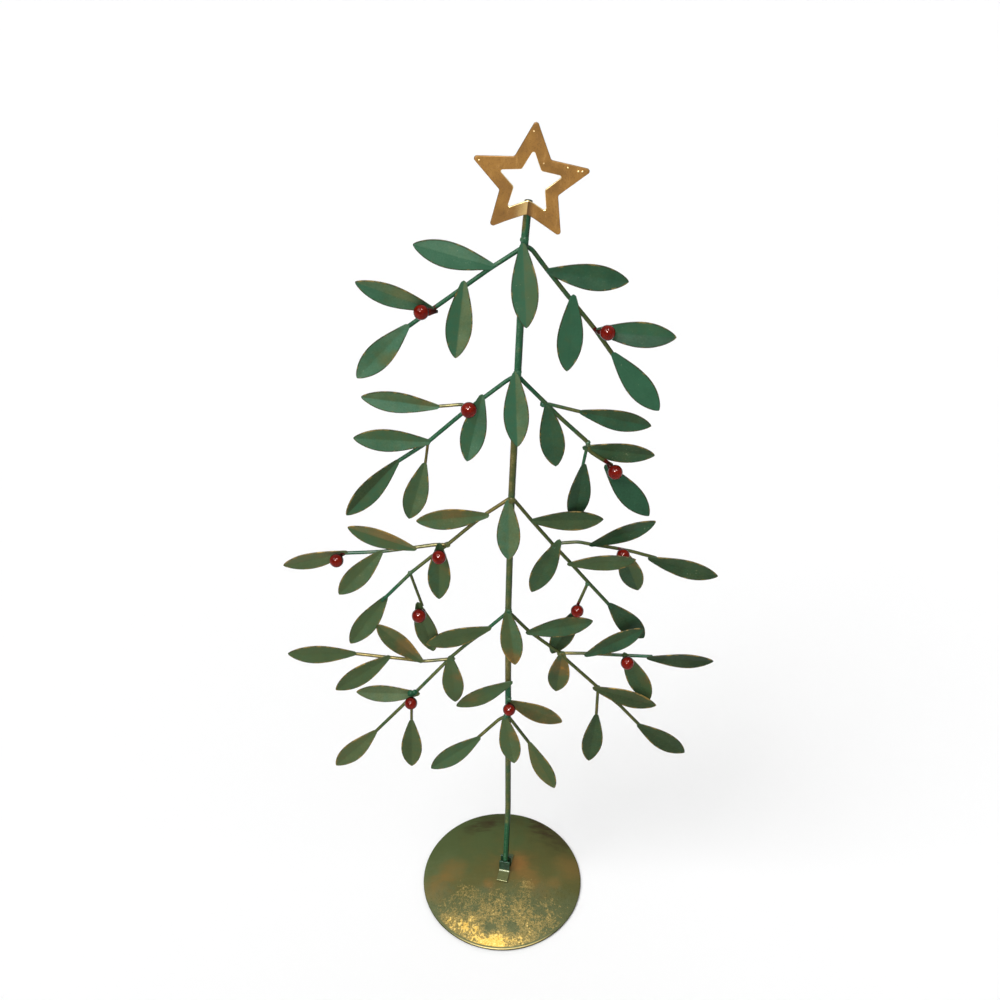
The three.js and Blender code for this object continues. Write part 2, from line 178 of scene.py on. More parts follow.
class Finish(Nodes):
    def __init__(self, name, **constants):
        self.material = bpy.data.materials.new(name)
        super().__init__(self.material)
        self.shader = self.nodes["Principled BSDF"]
        self.surface(**constants)
        self.place = self.node("ShaderNodeTexCoord", output="Object")

    def surface(self, **inputs):
        for socket, value in inputs.items():
            self.feed(self.shader.inputs[socket.replace("_", " ")], value)

    def cloud(self, size, detail=2.0, roughness=0.5, stretch=(1, 1, 1), curl=0.0):
        """A cloudy pattern round 0 whose patches are about `size` mm across."""
        scale = tuple(number / (size * MM) for number in stretch)
        mapping = {"Vector": self.place, "Scale": scale}
        placed = self.node("ShaderNodeMapping", {"vector_type": "POINT"}, mapping)
        inputs = {"Vector": placed, "Scale": 1.0, "Detail": detail, "Roughness": roughness}
        inputs["Distortion"] = curl
        return self.node("ShaderNodeTexNoise", {"noise_dimensions": "3D"}, inputs) - 0.5

    def between(self, value, low, high):
        """0 below low, 1 above high, and smooth from one to the other."""
        inputs = {"Value": value, "From Min": low, "From Max": high}
        return self.node("ShaderNodeMapRange", {"interpolation_type": "SMOOTHSTEP"}, inputs)

    def painted(self, name):
        """A value that the mesh carries at its points."""
        return self.node("ShaderNodeAttribute", {"attribute_name": name}, output="Fac")

    def over(self, mask, under, top):
        """One colour over another, where the mask says."""
        mix = {"data_type": "RGBA", "clamp_factor": True}
        return self.node("ShaderNodeMix", mix, {0: mask, 6: under, 7: top}, output=2)

    def shades(self, tone, dark, middle, pale):
        """A paint from dark at tone 0, over middle at 0.5, to pale at 1."""
        shade = self.over(self.between(tone, 0.0, 0.5), dark, middle)
        return self.over(self.between(tone, 0.5, 1.0), shade, pale)

    def lay(self, top, mask=None):
        """Lays a colour over the ones before it, where the mask says."""
        self.coat = top if mask is None else self.over(mask, self.coat, top)

    def dry(self, height, depth, **inputs):
        """The finished material, with fine bumps of about this depth in mm."""
        bump = self.node("ShaderNodeBump", None, {"Height": height, "Distance": depth * MM})
        self.surface(Base_Color=self.coat, Normal=bump, **inputs)
        print(self.material.name, "has", len(self.nodes), "nodes")
        return self.material


def colour(code):
    """A colour as a painter's screen shows it, such as 3f7050, in the light values Blender wants."""
    light = []
    for start in (0, 2, 4):
        share = int(code[start : start + 2], 16) / 255
        light.append(share / 12.92 if share < 0.04 else ((share + 0.055) / 1.055) ** 2.4)
    return (*light, 1)


print("mid green:", [round(number, 3) for number in colour("3f7050")])

# %% [markdown]
# ## Leaf paint
# The leaves are sprayed a blue-green, and each half of a leaf is painted a tone of its own: partly
# the paint's tone and partly painted light and shade, for the two sides of the fold and for leaves
# turned away from the light. Then they were rubbed by hand with brown and gold, which turns the
# green olive first, and stays thickest along the edges. The mesh says how light a point's paint is,
# with that painted light and shade, how much it was rubbed and how near to the edge it lies, and
# clouds break all of that up.


# %% Leaf paint
def leaf_paint():
    paint = Finish("leaf_paint", Specular_IOR_Level=0.15)
    broad = paint.cloud(16, detail=3)
    patchy = paint.cloud(4.5, detail=4, roughness=0.6)
    grain = paint.cloud(1.1, detail=4, roughness=0.65)
    tone = paint.painted("tone") + broad * 0.3 + grain * 0.22
    wear = paint.painted("wear") + patchy * 0.5
    edge = paint.painted("edge")

    paint.lay(paint.shades(tone, "0d3119", "2f6244", "638d70"))
    olive = paint.shades(tone, "1b2f10", "4a5c34", "79875c")
    paint.lay(olive, paint.between(wear, 0.0, 0.55))
    brown = paint.shades(tone, "33290c", "69592c", "97834e")
    paint.lay(brown, paint.between(wear + edge * 0.1, 0.5, 1.0))
    gold = paint.between(wear * 0.5 + patchy * 0.9 + grain * 0.6 + edge * 0.28, 0.57, 0.88)
    paint.lay("a87535", gold * 0.75)
    rim = paint.between(edge + patchy * 0.5, 0.62, 0.95)
    rubbed = paint.between(patchy + wear * 0.3 + grain * 0.4, 0.05, 0.25)
    paint.lay(paint.over(rubbed, "33300f", "8c7439"), rim * 0.8)
    scratch = paint.between(grain + broad * 0.3, 0.19, 0.26)
    paint.lay("b9bb93", scratch * 0.35)
    roughness = 0.48 + patchy * 0.25 - gold * 0.12
    return paint.dry(grain + patchy * 2.0, 0.06, Metallic=0.05 + gold * 0.6, Roughness=roughness)


LEAF_PAINT = leaf_paint()

# %% [markdown]
# ## Stem paint
# The rod and the wires have the same green, but hands and tools wear round wire more, so long
# stretches have gone olive, brown or pale gold. Where a berry was dipped, some red ran onto the
# stem. The mesh carries how worn the stem is and how near a berry's foot lies, and a tone with
# painted light and shade round each wire: lighter on top and on its front and back, darker at its
# sides.


# %% Stem paint
def stem_paint():
    paint = Finish("stem_paint", Specular_IOR_Level=0.08, Coat_Weight=0.1, Coat_Roughness=0.25)
    long_patch = paint.cloud(8, detail=3, roughness=0.6)
    grain = paint.cloud(0.9, detail=3)
    rub = paint.painted("rub") + long_patch * 0.7
    tone = paint.painted("tone") + long_patch * 0.4 + grain * 0.3
    red = paint.between(paint.painted("red") + grain * 0.5, 0.45, 0.6)

    # tone carries the painted light and shade round each wire.
    paint.lay(paint.shades(tone, "0a1f10", "23593a", "7fae8d"))
    paint.lay(paint.shades(tone, "191e0b", "4c552b", "9b9a60"), paint.between(rub, 0.1, 0.45))
    gold = paint.between(rub, 0.45, 0.9)
    paint.lay(paint.shades(tone, "251e0a", "6c5b2b", "d8c98c"), gold)
    paint.lay("560b05", red)
    return paint.dry(grain + long_patch, 0.04, Metallic=gold * 0.35, Roughness=0.38 + grain * 0.2)


STEM_PAINT = stem_paint()

# %% [markdown]
# ## Berry enamel
# Each bead was dipped in a deep red gloss enamel. It is painted darker where it turns away from the
# front, round its rim and behind, as a painted shade, and its nub darker towards the stem. A red
# specular tint keeps the white room's reflection from turning the red pink, and a thin clear coat
# over it gives the small white highlights.


# %% Berry enamel
def berry_enamel():
    enamel = Finish("berry_enamel", Specular_IOR_Level=0.06, Coat_Weight=0.25, Coat_Roughness=0.09)
    enamel.surface(Specular_Tint=(1.0, 0.16, 0.05, 1))
    cloudy = enamel.cloud(4, detail=3)
    foot = enamel.painted("foot") + cloudy * 0.5
    enamel.lay("640902")
    enamel.lay("7e1706", enamel.between(cloudy, -0.15, 0.15))
    # Painted shade on the bead's rim and back, and the nub's darker paint towards the stem.
    enamel.lay("2a0703", enamel.between(foot, 0.3, 0.8))
    return enamel.dry(cloudy, 0.015, Roughness=0.2 + cloudy * 0.08)


BERRY_ENAMEL = berry_enamel()

# %% [markdown]
# ## Star gold
# The star isn't green: it was brushed with an antique gold, brown in the pores. Round the edges of
# the hole it is lighter, rubbed gold together with a painted highlight where the edge catches the
# light, and it is darker along its outline. Where the star bends over the rod, the facet on the left
# of the crease is painted pale, a painted highlight, and its right is painted dark, a painted shade.
# The mesh tells the two apart.


# %% Star gold
def star_gold():
    gold = Finish("star_gold", Coat_Weight=0.1, Coat_Roughness=0.3)
    brushed = gold.cloud(2.5, detail=5, roughness=0.65, stretch=(1, 1, 0.4))
    pores = gold.cloud(0.6, detail=4, roughness=0.7)
    edge = gold.between(gold.painted("edge") + pores * 0.4, 0.8, 1.0)
    outline = gold.between(0 - gold.painted("edge") + pores * 0.6, 0.5, 0.9)
    facet = gold.painted("facet") + pores * 0.3

    gold.lay("845c22")
    gold.lay("9c6f2c", gold.between(gold.cloud(16), -0.15, 0.15))
    gold.lay("c2934f", gold.between(brushed, 0.0, 0.25) * 0.35)
    gold.lay("593a12", gold.between(0 - pores, 0.0, 0.2) * 0.6)
    # Painted highlight on the left facet of the crease, painted shade on its right.
    gold.lay("dcbd7c", gold.between(facet, 0.3, 1.0) * 0.6)
    gold.lay("4c3212", gold.between(0 - facet, 0.0, 0.8) * 0.6)
    # Lighter round the hole: rubbed gold and a painted highlight where the edge catches the light.
    gold.lay("ead49c", edge * 0.8)
    gold.lay("4c3414", outline * 0.6)
    roughness = 0.46 + brushed * 0.3 - edge * 0.1
    return gold.dry(pores + brushed, 0.05, Metallic=0.55 + edge * 0.3, Roughness=roughness)


STAR_GOLD = star_gold()

# %% [markdown]
# ## Patina of the base
# The dome is an olive green over bronze, greener at the back and on the left and browner on the
# right. It is painted lighter towards the front and the left, a painted light and reflection. In front
# the green was wiped off again while it was wet, which left curly gold flecks that run together into
# solid gold in front. So the flecks' threshold follows the place: heaps of gold, with islands of
# green between them. The brightest gold in front is worn gold and partly a painted highlight, a pale
# line on the front of the rolled rim is a painted highlight, and under the rim is a painted shade.
# Soft rust-coloured smudges lie round the brackets, and dark ones at the back. A smudge is a place,
# a reach in mm and a strength.

# %% Patina of the base
BASE_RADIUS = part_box("base")[1].x
RUST_SMUDGES = [
    (13, 8, 9, 0.7), (-11, -13, 6, 0.7), (22, -4, 9, 0.35), (42, -9, 6, 0.4),
    (-40, 4, 12, 0.4), (-52, -12, 13, 0.5), (10, 4, 18, 0.35), (56, 8, 13, 0.4), (28, -14, 10, 0.4),
]
GOLD_HEAPS = [
    (-38, -45, 11, 0.8), (-19, -55, 13, 1.0), (4, -57, 13, 0.8), (-24, -40, 9, 0.6), (-9, -38, 13, 0.4),
    (-28, -20, 14, 0.45), (19, -12, 11, 0.5), (14, -34, 14, 0.55), (20, -51, 12, 0.55),
    (37, -40, 10, 0.4), (-8, -58, 9, 0.8), (-40, -30, 12, 0.45),
    (-4, -24, 15, 0.35), (34, -24, 9, 0.45),
]
GREEN_ISLANDS = [(-11, -48, 7, 0.8), (9, -48, 6, 0.7), (-35, -29, 9, 0.4), (31, -19, 9, 0.3)]
DARK_SMUDGES = [
    (-15, 50, 9, 0.7), (-26, 45, 7, 0.5), (34, 52, 12, 1.0), (50, 36, 12, 0.5), (0, 56, 10, 0.4),
]


def smudges(patina, x, y, wobble, places):
    """How strongly any of the smudges covers a place, with an edge that wobbles."""
    total = 0
    for place_x, place_y, reach, strength in places:
        aside, ahead = x - place_x * MM, y - place_y * MM
        gap = (aside * aside + ahead * ahead) ** 0.5 * (1 / (reach * MM))
        total = total + patina.between(gap + wobble, 1.4, 0.1) * strength
    return total


def base_patina():
    patina = Finish("base_patina", Specular_IOR_Level=0.12, Coat_Weight=0.02, Coat_Roughness=0.3)
    x, y, z = [
        patina.node("ShaderNodeSeparateXYZ", None, {"Vector": patina.place}, output=axis)
        for axis in ("X", "Y", "Z")
    ]
    reach = (x * x + y * y) ** 0.5 * (1 / BASE_RADIUS)
    front = (0 - y) * (1 / BASE_RADIUS)
    left = (0 - x) * (1 / BASE_RADIUS)
    broad = patina.cloud(28, detail=3)
    blotch = patina.cloud(10, detail=4, roughness=0.6)
    streak = patina.cloud(5, detail=4, roughness=0.65, stretch=(0.35, 1.4, 1))
    fleck = patina.cloud(3.4, detail=3, roughness=0.6, curl=1.2)
    crumb = patina.cloud(2.5, detail=3, roughness=0.6, curl=0.8)
    dust = patina.cloud(0.8, detail=3, roughness=0.7)

    # Painted light and reflection: lighter towards the front and the left.
    tone = 0.56 + front * 0.28 + left * 0.12 + broad * 0.5 + streak * 0.2 + dust * 0.2
    patina.lay(patina.shades(tone, "333814", "57562a", "777346"))
    green = patina.between(left * 0.3 - front * 0.35 + broad + blotch * 0.5, -0.1, 0.4)
    patina.lay(patina.shades(tone, "263a18", "45562f", "5f6e49"), green * 0.75)
    wobble = blotch * 0.8 + streak * 0.8
    patina.lay("8a6530", smudges(patina, x, y, wobble, RUST_SMUDGES) * 0.9)
    patina.lay("33220c", smudges(patina, x, y, wobble + streak * 2.0, DARK_SMUDGES) * 0.8)
    wet = patina.between(front + blotch, 0.1, 0.5)
    patina.lay("56603f", wet * 0.6)

    worms = patina.between(fleck * fleck, 0.008, 0.0)
    ragged = blotch * 1.6
    heap = smudges(patina, x, y, ragged, GOLD_HEAPS) - smudges(patina, x, y, ragged, GREEN_ISLANDS)
    heap = heap + front * 0.5 + blotch * 0.7
    inside = 1 - patina.between(reach + dust * 0.02, 0.962, 0.975)
    worn = patina.between(heap + worms * 0.4 + crumb * 1.5, 0.68, 1.12) * inside
    # The brightest gold: worn gold, and a painted highlight where it heaps in front.
    bright = patina.between(heap * 0.85 + worms * 0.25 + crumb * 1.7, 1.08, 1.45)
    grit = 0.5 + dust * 2.2 + crumb * 1.2
    patina.lay(patina.shades(grit, "6b6233", "917d46", "bda05e"), worn * 0.75)
    patina.lay(patina.shades(grit, "b98d3e", "e0b757", "f5dc8c"), bright * inside)
    pits = patina.between(0.5 - grit, 0.1, 0.4) * patina.between(front, 0.0, 0.4)
    patina.lay("2f3a1c", pits * (1 - bright) * 0.5)
    # Painted highlight: a pale line on the front of the rolled rim.
    lip_highlight = patina.between(reach, 0.984, 0.988) * patina.between(z, 1.6 * MM, 1.8 * MM)
    patina.lay("c6b272", lip_highlight * patina.between(front, 0.75, 0.95) * 0.8)
    # Painted shade under the rolled rim.
    under = patina.between(reach, 0.982, 0.986) * patina.between(z, 1.8 * MM, 1.6 * MM)
    patina.lay("2c280e", under * 0.85)
    metallic = 0.1 + worn * 0.15 + bright * inside * 0.25
    roughness = 0.54 + dust * 0.25 - bright * 0.18
    return patina.dry(fleck + dust * 0.5, 0.12, Metallic=metallic, Roughness=roughness)


BASE_PATINA = base_patina()

# %% [markdown]
# ## Pieces from points
# A folded leaf or a bent wire is a row of equal rings of points, joined by a skin. That is easier
# to steer than a modelled-and-bent primitive, and each point can carry values for the paint. A
# small class collects the points and then makes the Blender object, which rides on the frame.


# %% A piece's points and faces
class Body:
    def __init__(self):
        self.points = []
        self.faces = []
        self.values = {}

    def add(self, points, faces, **values):
        """Adds points and faces. A plain number is the value of each of the points."""
        start = len(self.points)
        self.points += points
        self.faces += [[start + corner for corner in face] for face in faces]
        for name, value in values.items():
            numbers = value if isinstance(value, list) else [value] * len(points)
            self.values.setdefault(name, []).extend(numbers)

    def skin(self, rings, names="", closed=False):
        """Joins rings of (point, value, ...), a value for each name. Open ends are capped."""
        count = len(rings[0])
        rows = len(rings)
        faces = []
        for row in range(rows if closed else rows - 1):
            near, far = row * count, (row + 1) % rows * count
            for side in range(count):
                ahead = (side + 1) % count
                faces.append([near + side, near + ahead, far + ahead, far + side])
        if not closed:
            faces += [list(range(count)), list(range((rows - 1) * count, rows * count))]
        points, *values = map(list, zip(*(item for ring in rings for item in ring)))
        self.add(points, faces, **dict(zip(names.split(), values)))

    def piece(self, name, material, slot, *nodes):
        mesh = bpy.data.meshes.new(name)
        mesh.from_pydata(self.points, [], self.faces)
        outward = bmesh.new()
        outward.from_mesh(mesh)
        bmesh.ops.recalc_face_normals(outward, faces=outward.faces)
        outward.to_mesh(mesh)
        outward.free()
        for value, numbers in self.values.items():
            mesh.attributes.new(value, "FLOAT", "POINT").data.foreach_set("value", numbers)
        mesh.polygons.foreach_set("use_smooth", [True] * len(mesh.polygons))
        mesh.materials.append(material)
        made = add_object(name, mesh)
        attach(made, "root")
        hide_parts(*nodes)
        return made


# %% [markdown]
# ## Where the tree stands
# The tree is flat. Its layout is drawn in its own plane as [x, z] in millimetres, and depth is how
# far a piece lies behind that plane. The plane itself stands just behind the base's centre.

# %% From the drawing to the scene
TREE_PLACE = Vector((-0.5, 2.8, 0))
ROD_FOOT = (3, 10.3)


def spot(x, z, depth=0.0):
    return (Vector((x, depth, z)) + TREE_PLACE) * MM


def turns(sides):
    """The angles of points that stand evenly round a circle."""
    return [2 * math.pi * side / sides for side in range(sides)]


print("foot of the rod:", [round(number / MM, 1) for number in spot(*ROD_FOOT)])

# %% [markdown]
# ## The leaf
# All leaves are stamped with one tool: a pointed blade, widest past its middle, with a narrow
# neck, folded a little along its midrib so that both halves rise towards the viewer. A slice
# across the blade is a thin V with rounded rims, and slices from root to tip make the leaf. The
# slices are closest where the outline turns fastest, at the tip.

# %% The leaf's size and slices
LEAF_LENGTH = 46.2 * MM
LEAF_WIDTH = 14.8 * MM
LEAF_NECK = 2.4 * MM
LEAF_POINT = 0.3 * MM
LEAF_SHEET = 0.8 * MM
LEAF_RIM = 0.22 * MM  # how far the rounding of the cut edge reaches in
LEAF_CREASE = 0.35 * MM  # how round the fold is
LEAF_FOLD = math.radians(10)
LEAF_SLICES = 34
LEAF_SHARES = (0, 0.05, 0.18, 0.4, 0.6, 0.75, 0.87, 0.95, 1)  # of the half width
EDGE_REACH = 2.2 * MM  # how far from the edge the rubbing is thicker
EDGE_START = 0.15  # from this share of the length, because the root isn't rubbed so much
WAVE = 0.25 * MM  # how far the sheet waves in and out, since no blank is quite flat
WAVE_LENGTH = 16 * MM
MIDRIB_SHARP = 8  # how quickly the paint of one half changes to that of the other


def half_width(along):
    """The stamped outline: the powers put its widest place past the middle."""
    bulge = max(math.sin(math.pi * along**1.27), 0) ** 0.72
    neck = LEAF_NECK / 2 * (1 - along) ** 4 * min(1.0, 0.35 + along / 0.03)
    return LEAF_WIDTH / 2 * bulge + neck + LEAF_POINT / 2 * along


def rise(across):
    return (math.hypot(across, LEAF_CREASE) - LEAF_CREASE) * math.tan(LEAF_FOLD)


def leaf_slice(along):
    """The points round one slice as (across, height, share of half the width)."""
    half = half_width(along)
    rim = half - min(LEAF_RIM, half / 3)
    shares = [-share for share in reversed(LEAF_SHARES)] + list(LEAF_SHARES[1:])
    front = [(share * rim, rise(share * rim) + LEAF_SHEET / 2, share) for share in shares]
    back = [(across, height - LEAF_SHEET, share) for across, height, share in reversed(front)]
    quarter = LEAF_SHEET / 4
    right = [(half, rise(half) + quarter, 1), (half, rise(half) - quarter, 1)]
    left = [(-half, rise(half) - quarter, -1), (-half, rise(half) + quarter, -1)]
    return front + right + back + left


print("points in a slice:", len(leaf_slice(0.5)))

# %% [markdown]
# A leaf in the drawing is its root, its direction in degrees (0 right, 90 up), how far its tip
# comes forward and how far it is rolled about its length. Then come two pairs, for the half on
# the clockwise side of the midrib and for the other half: how light it is painted, from 0, dark,
# to 1, pale, which is the paint's own tone together with painted light and shade on that half, and
# its wear from 0, fresh green, over olive to 1, brown. Some leaves have patches that were rubbed
# longer, each as its share of the length, its share of the half width, its reach in mm and how much
# wear it adds, and a few have a depth of their own.

# %% One leaf in place
Leaf = namedtuple("Leaf", "x z direction tilt lean tones wears patches depth", defaults=((), None))
ON_WIRE = -0.9  # the depth of a leaf's sheet on a wire, in mm
ON_ROD = -2.7


def leaf_frame(leaf, depth):
    turn, lift = math.radians(leaf.direction), math.radians(leaf.tilt)
    level = math.cos(lift)
    along = Vector((math.cos(turn) * level, -math.sin(lift), math.sin(turn) * level))
    front = Vector((0, -1, 0))
    front = (front - along * front.dot(along)).normalized()
    front.rotate(Matrix.Rotation(-math.radians(leaf.lean), 3, along))
    across = front.cross(along)
    frame = Matrix((along, across, front)).transposed().to_4x4()
    frame.translation = spot(leaf.x, leaf.z, depth)
    return frame


def patch_wear(leaf, along, share):
    total = 0.0
    for patch_along, patch_share, reach, strength in leaf.patches:
        ahead = (along - patch_along) * LEAF_LENGTH
        aside = (share - patch_share) * half_width(along)
        total += strength * max(0.0, 1 - math.hypot(ahead, aside) / (reach * MM))
    return total


def make_leaf(name, leaf, usual_depth, node):
    place = leaf_frame(leaf, usual_depth if leaf.depth is None else leaf.depth)
    rings = []
    for number in range(LEAF_SLICES + 1):
        along = (1 - math.cos(math.pi * number / LEAF_SLICES)) / 2
        ring = []
        for across, height, share in leaf_slice(along):
            point = place @ Vector((along * LEAF_LENGTH, across, height))
            wave = place.col[2].xyz * noise.noise(point / WAVE_LENGTH) * WAVE
            other = min(max(share * MIDRIB_SHARP + 0.5, 0), 1)
            # The half's tone is its paint's tone together with painted light and shade.
            tone, wear = (near * (1 - other) + far * other for near, far in (leaf.tones, leaf.wears))
            wear += patch_wear(leaf, along, share)
            inside = half_width(along) * (1 - abs(share)) / EDGE_REACH
            edge = max(0, 1 - inside) * min(1, along / EDGE_START)
            ring.append((point + wave, tone, wear, edge))
        rings.append(ring)
    body = Body()
    body.skin(rings, "tone wear edge")
    return body.piece(name, LEAF_PAINT, "leaf_green", node)


print("a leaf's usual depth in mm, on a wire and on the rod:", ON_WIRE, ON_ROD)

# %% [markdown]
# ## Wire and welds
# Wire is a ring of points carried along its route. Real wire is bent round a tool, so each corner
# of the route is replaced by a small curve first. Where a twig or a branch was welded on, molten
# metal left a lump, and no two are alike: a ball whose points are pushed in and out by noise.

# %% Wire and welds
WIRE_SIDES = 14
BEND_REACH = 2.5  # how far before a corner its curve starts, in mm
BEND_PARTS = 2.2  # a curve takes no more than one such part of a straight
BEND_STEPS = 5
WIRE_STEP = 3.0  # the longest piece of a straight
END_WIDTH = 0.6  # the rounding at a wire's end, in radii
END_REACH = 0.3
TOP_PAINTED_LIGHT = 0.36  # painted light: the top and upper left of a wire are painted lighter
SIDE_PAINTED_SHADE = 0.55  # painted shade at a wire's sides, and painted light on its front and back
WELD_UNEVEN = 0.3
WELD_LUMPS = 1.7  # the higher, the smaller its lumps
WELD_OWN = 400  # shifts the noise from weld to weld


def bent(route, reach):
    """The route with a curve at every inner corner, which starts `reach` mm before it."""
    places = [Vector(place) for place in route]
    points = [places[0]]
    for before, corner, after in zip(places, places[1:], places[2:]):
        start, end = (
            corner + way.normalized() * min(reach, way.length / BEND_PARTS)
            for way in (before - corner, after - corner)
        )
        for step in range(BEND_STEPS + 1):
            share = step / BEND_STEPS
            points.append(start.lerp(corner, share).lerp(corner.lerp(end, share), share))
    return points + [places[-1]]


def divided(points, longest):
    """More points on the straights, so that wear can change along them."""
    finer = [points[0]]
    for start, end in zip(points, points[1:]):
        steps = max(1, math.ceil((end - start).length / longest))
        finer += [start.lerp(end, step / steps) for step in range(1, steps + 1)]
    return finer


def add_wire(body, route, radius, depth, rub, red=None, sides=WIRE_SIDES, bend=BEND_REACH, tone=0.35):
    """A wire along a route of [x, z]. rub and red give a value for each place on it."""
    points = divided(bent(route, bend), WIRE_STEP)
    stations = [(points[0], END_WIDTH), *((point, 1.0) for point in points), (points[-1], END_WIDTH)]
    rings = []
    for index, (point, share) in enumerate(stations):
        near = stations[max(index - 1, 1)][0]
        far = stations[min(index + 1, len(stations) - 2)][0]
        along = (far - near).normalized()
        end = {0: -END_REACH, len(stations) - 1: END_REACH}.get(index, 0.0) * radius
        ring = []
        for turn in turns(sides):
            aside = Vector((-along.y, along.x)) * (radius * share * math.sin(turn))
            middle = point + along * end + aside
            place = spot(middle.x, middle.y, depth + radius * share * math.cos(turn))
            # Painted light and shade round the wire: lighter on top and on its front and back, darker
            # at its sides.
            painted_light_and_shade = TOP_PAINTED_LIGHT * (aside.y - aside.x * 0.6) / radius
            painted_light_and_shade += SIDE_PAINTED_SHADE * (abs(math.cos(turn)) - 0.7)
            ring.append((place, tone + painted_light_and_shade, rub(point, aside.x / radius), red(point) if red else 0.0))
        rings.append(ring)
    body.skin(rings, "tone rub red")


def unit_ball():
    ball = bmesh.new()
    bmesh.ops.create_icosphere(ball, subdivisions=3, radius=1)
    points = [vertex.co.copy() for vertex in ball.verts]
    faces = [[vertex.index for vertex in face.verts] for face in ball.faces]
    ball.free()
    return points, faces


BALL_POINTS, BALL_FACES = unit_ball()


def add_weld(body, x, z, radius, depth=0.0, tone=0.6, rub=0.2):
    centre = spot(x, z, depth)
    points = []
    for point in BALL_POINTS:
        swell = 1 + WELD_UNEVEN * noise.noise(point * WELD_LUMPS + centre * WELD_OWN)
        points.append(centre + point * swell * radius * MM)
    body.add(points, BALL_FACES, tone=tone, rub=rub, red=0.0)


print("points of a weld:", len(BALL_POINTS))

# %% [markdown]
# ## Top tier
# Each tier has one branch to the left and one to the right, drawn as its wires and its leaves. A
# wire is its route, its radius and how worn it is at its start and its end. The first wire is the
# branch itself, and the others are twigs, welded on where they start. The top branches are short
# and have no twigs, and their leaves are the greenest: they were sprayed from straight in front.

# %% Top tier
BRANCHES = {}


def draw(name, wires, leaves, depth=0):
    BRANCHES[name] = (wires, [Leaf(*row) for row in leaves], depth)
    print(name, "has wires:", len(wires), "leaves:", len(leaves))


draw("branch_1_left", [
    ([(12, 537.6), (-7, 524.6), (-53, 490)], 1.3, (0.1, 0)),
], [
    (-3.8, 526, 164, -1, -4, (0.75, 0.57), (0.1, 0)),
    (-21, 518, -97, 4, 0, (0.5, 0.7), (0.15, 0.4)),
    (-38, 500.8, 156.7, 5, 14, (0.68, 0.63), (0.3, 0.1), ((0.45, -0.4, 12, 0.3),)),
    (-52.6, 491.5, -133, 0, -8, (0.65, 0.67), (0.2, 0.1),
     ((0.55, 0.65, 7, 0.45), (0.42, 0.95, 4, 0.5))),
])
draw("branch_1_right", [
    ([(12, 538), (16, 536), (24.7, 524), (37, 508), (52, 489), (63, 473)], 1.3, (0.25, 0.4)),
], [
    (24, 524, -8.6, -1, 5, (0.27, 0.3), (0.1, 0.15)),
    (39.5, 509.8, -93, 4, 8, (0.5, 0.4), (0.1, 0.05)),
    (52.6, 488, -5, 1, 12, (0.25, 0.4), (0.1, 0.15)),
    (63, 474, -51, 5, 4, (0.4, 0.4), (0, 0)),
])

# %% [markdown]
# ## Second tier
# Here twigs begin. The twig that hangs down on the left has lost most of its green.

# %% Second tier
draw("branch_2_left", [
    ([(9, 459), (3, 455.6), (-11, 443.8), (-25, 432), (-44, 414), (-52, 408), (-63, 400)],
     1.3, (0.1, 0.1)),
    ([(-20, 437), (-23, 439.5), (-36, 438.3)], 1.0, (0.5, 0.7)),
    ([(-44.6, 413), (-46.8, 398)], 0.9, (0.8, 0.7)),
], [
    (-36.9, 438.3, 171.5, 0, 7, (0.65, 0.8), (0.35, 0.1), ((0.2, -0.8, 8, 0.4),)),
    (-11.6, 446.6, -102, 2, -5, (0.45, 0.66), (0.2, 0.15)),
    (-42.9, 414, 174, 4, -5, (0.55, 0.65), (0.3, 0.2)),
    (-63, 401, -138, 22, 10, (0.25, 0.5), (0.4, 0.25)),
    (-47, 399, -105, -5, 0, (0.4, 0.65), (0.35, 0.4)),
])
draw("branch_2_right", [
    ([(9, 459), (12.6, 454.6), (25, 441), (35, 430), (52, 413), (53, 407), (64, 399)],
     1.3, (0.1, 0.5)),
    ([(24, 439.5), (27, 439.8), (46.3, 434.5)], 1.1, (0.2, 0.5)),
    ([(51.8, 413), (49.8, 399)], 1.0, (0.3, 0.1)),
], [
    (45.9, 435.2, -17, -7, -7, (0.3, 0.25), (0.15, 0.3)),
    (26.5, 440.8, -81.8, -3, -1, (0.3, 0.3), (0.15, 0.25)),
    (48.6, 410.2, -11.6, -7, -8, (0.3, 0.2), (0.3, 0.35)),
    (50, 398.5, -95, -6, 16, (0.2, 0.25), (0.2, 0.2)),
    (62.9, 397.5, -51, 4, 0, (0.25, 0.25), (0, 0)),
])

# %% [markdown]
# ## Third tier
# This tier reaches furthest, and its side twigs run out almost level with several leaves each.

# %% Third tier
draw("branch_3_left", [
    ([(6, 373), (-10, 360.4), (-20, 351), (-35, 336), (-47, 325), (-59, 313.5), (-77, 292.5)],
     1.2, (0.85, 0.1)),
    ([(-35, 336), (-43, 336), (-55, 334), (-78, 330.4), (-100, 329.3)], 1.15, (0.75, 0)),
    ([(-60, 313), (-54, 289)], 0.95, (0.5, 0.4)),
], [
    (-8, 360, -175, 1, -3, (0.55, 0.6), (0.55, 0.35), ((0.5, -0.4, 14, 0.35),)),
    (-54.8, 333, 160, -3, 6, (0.65, 0.5), (0.7, 0.35), ((0.45, -0.6, 12, 0.35),)),
    (-77, 332, -131, 2, -2, (0.45, 0.6), (0.5, 0.4)),
    (-99.5, 331, -161, -6, 12, (0.5, 0.6), (0.65, 0.5)),
    (-40, 338, -92, 0, 0, (0.3, 0.45), (0.35, 0.4), ((0.45, 0.6, 8, 0.35),)),
    (-76.4, 292.8, -125, 6, 3, (0.4, 0.55), (0.45, 0.4), (), 0.9),
    (-56, 288.4, -79, -3, -6, (0.3, 0.52), (0.5, 0.5), (), -0.6),
])
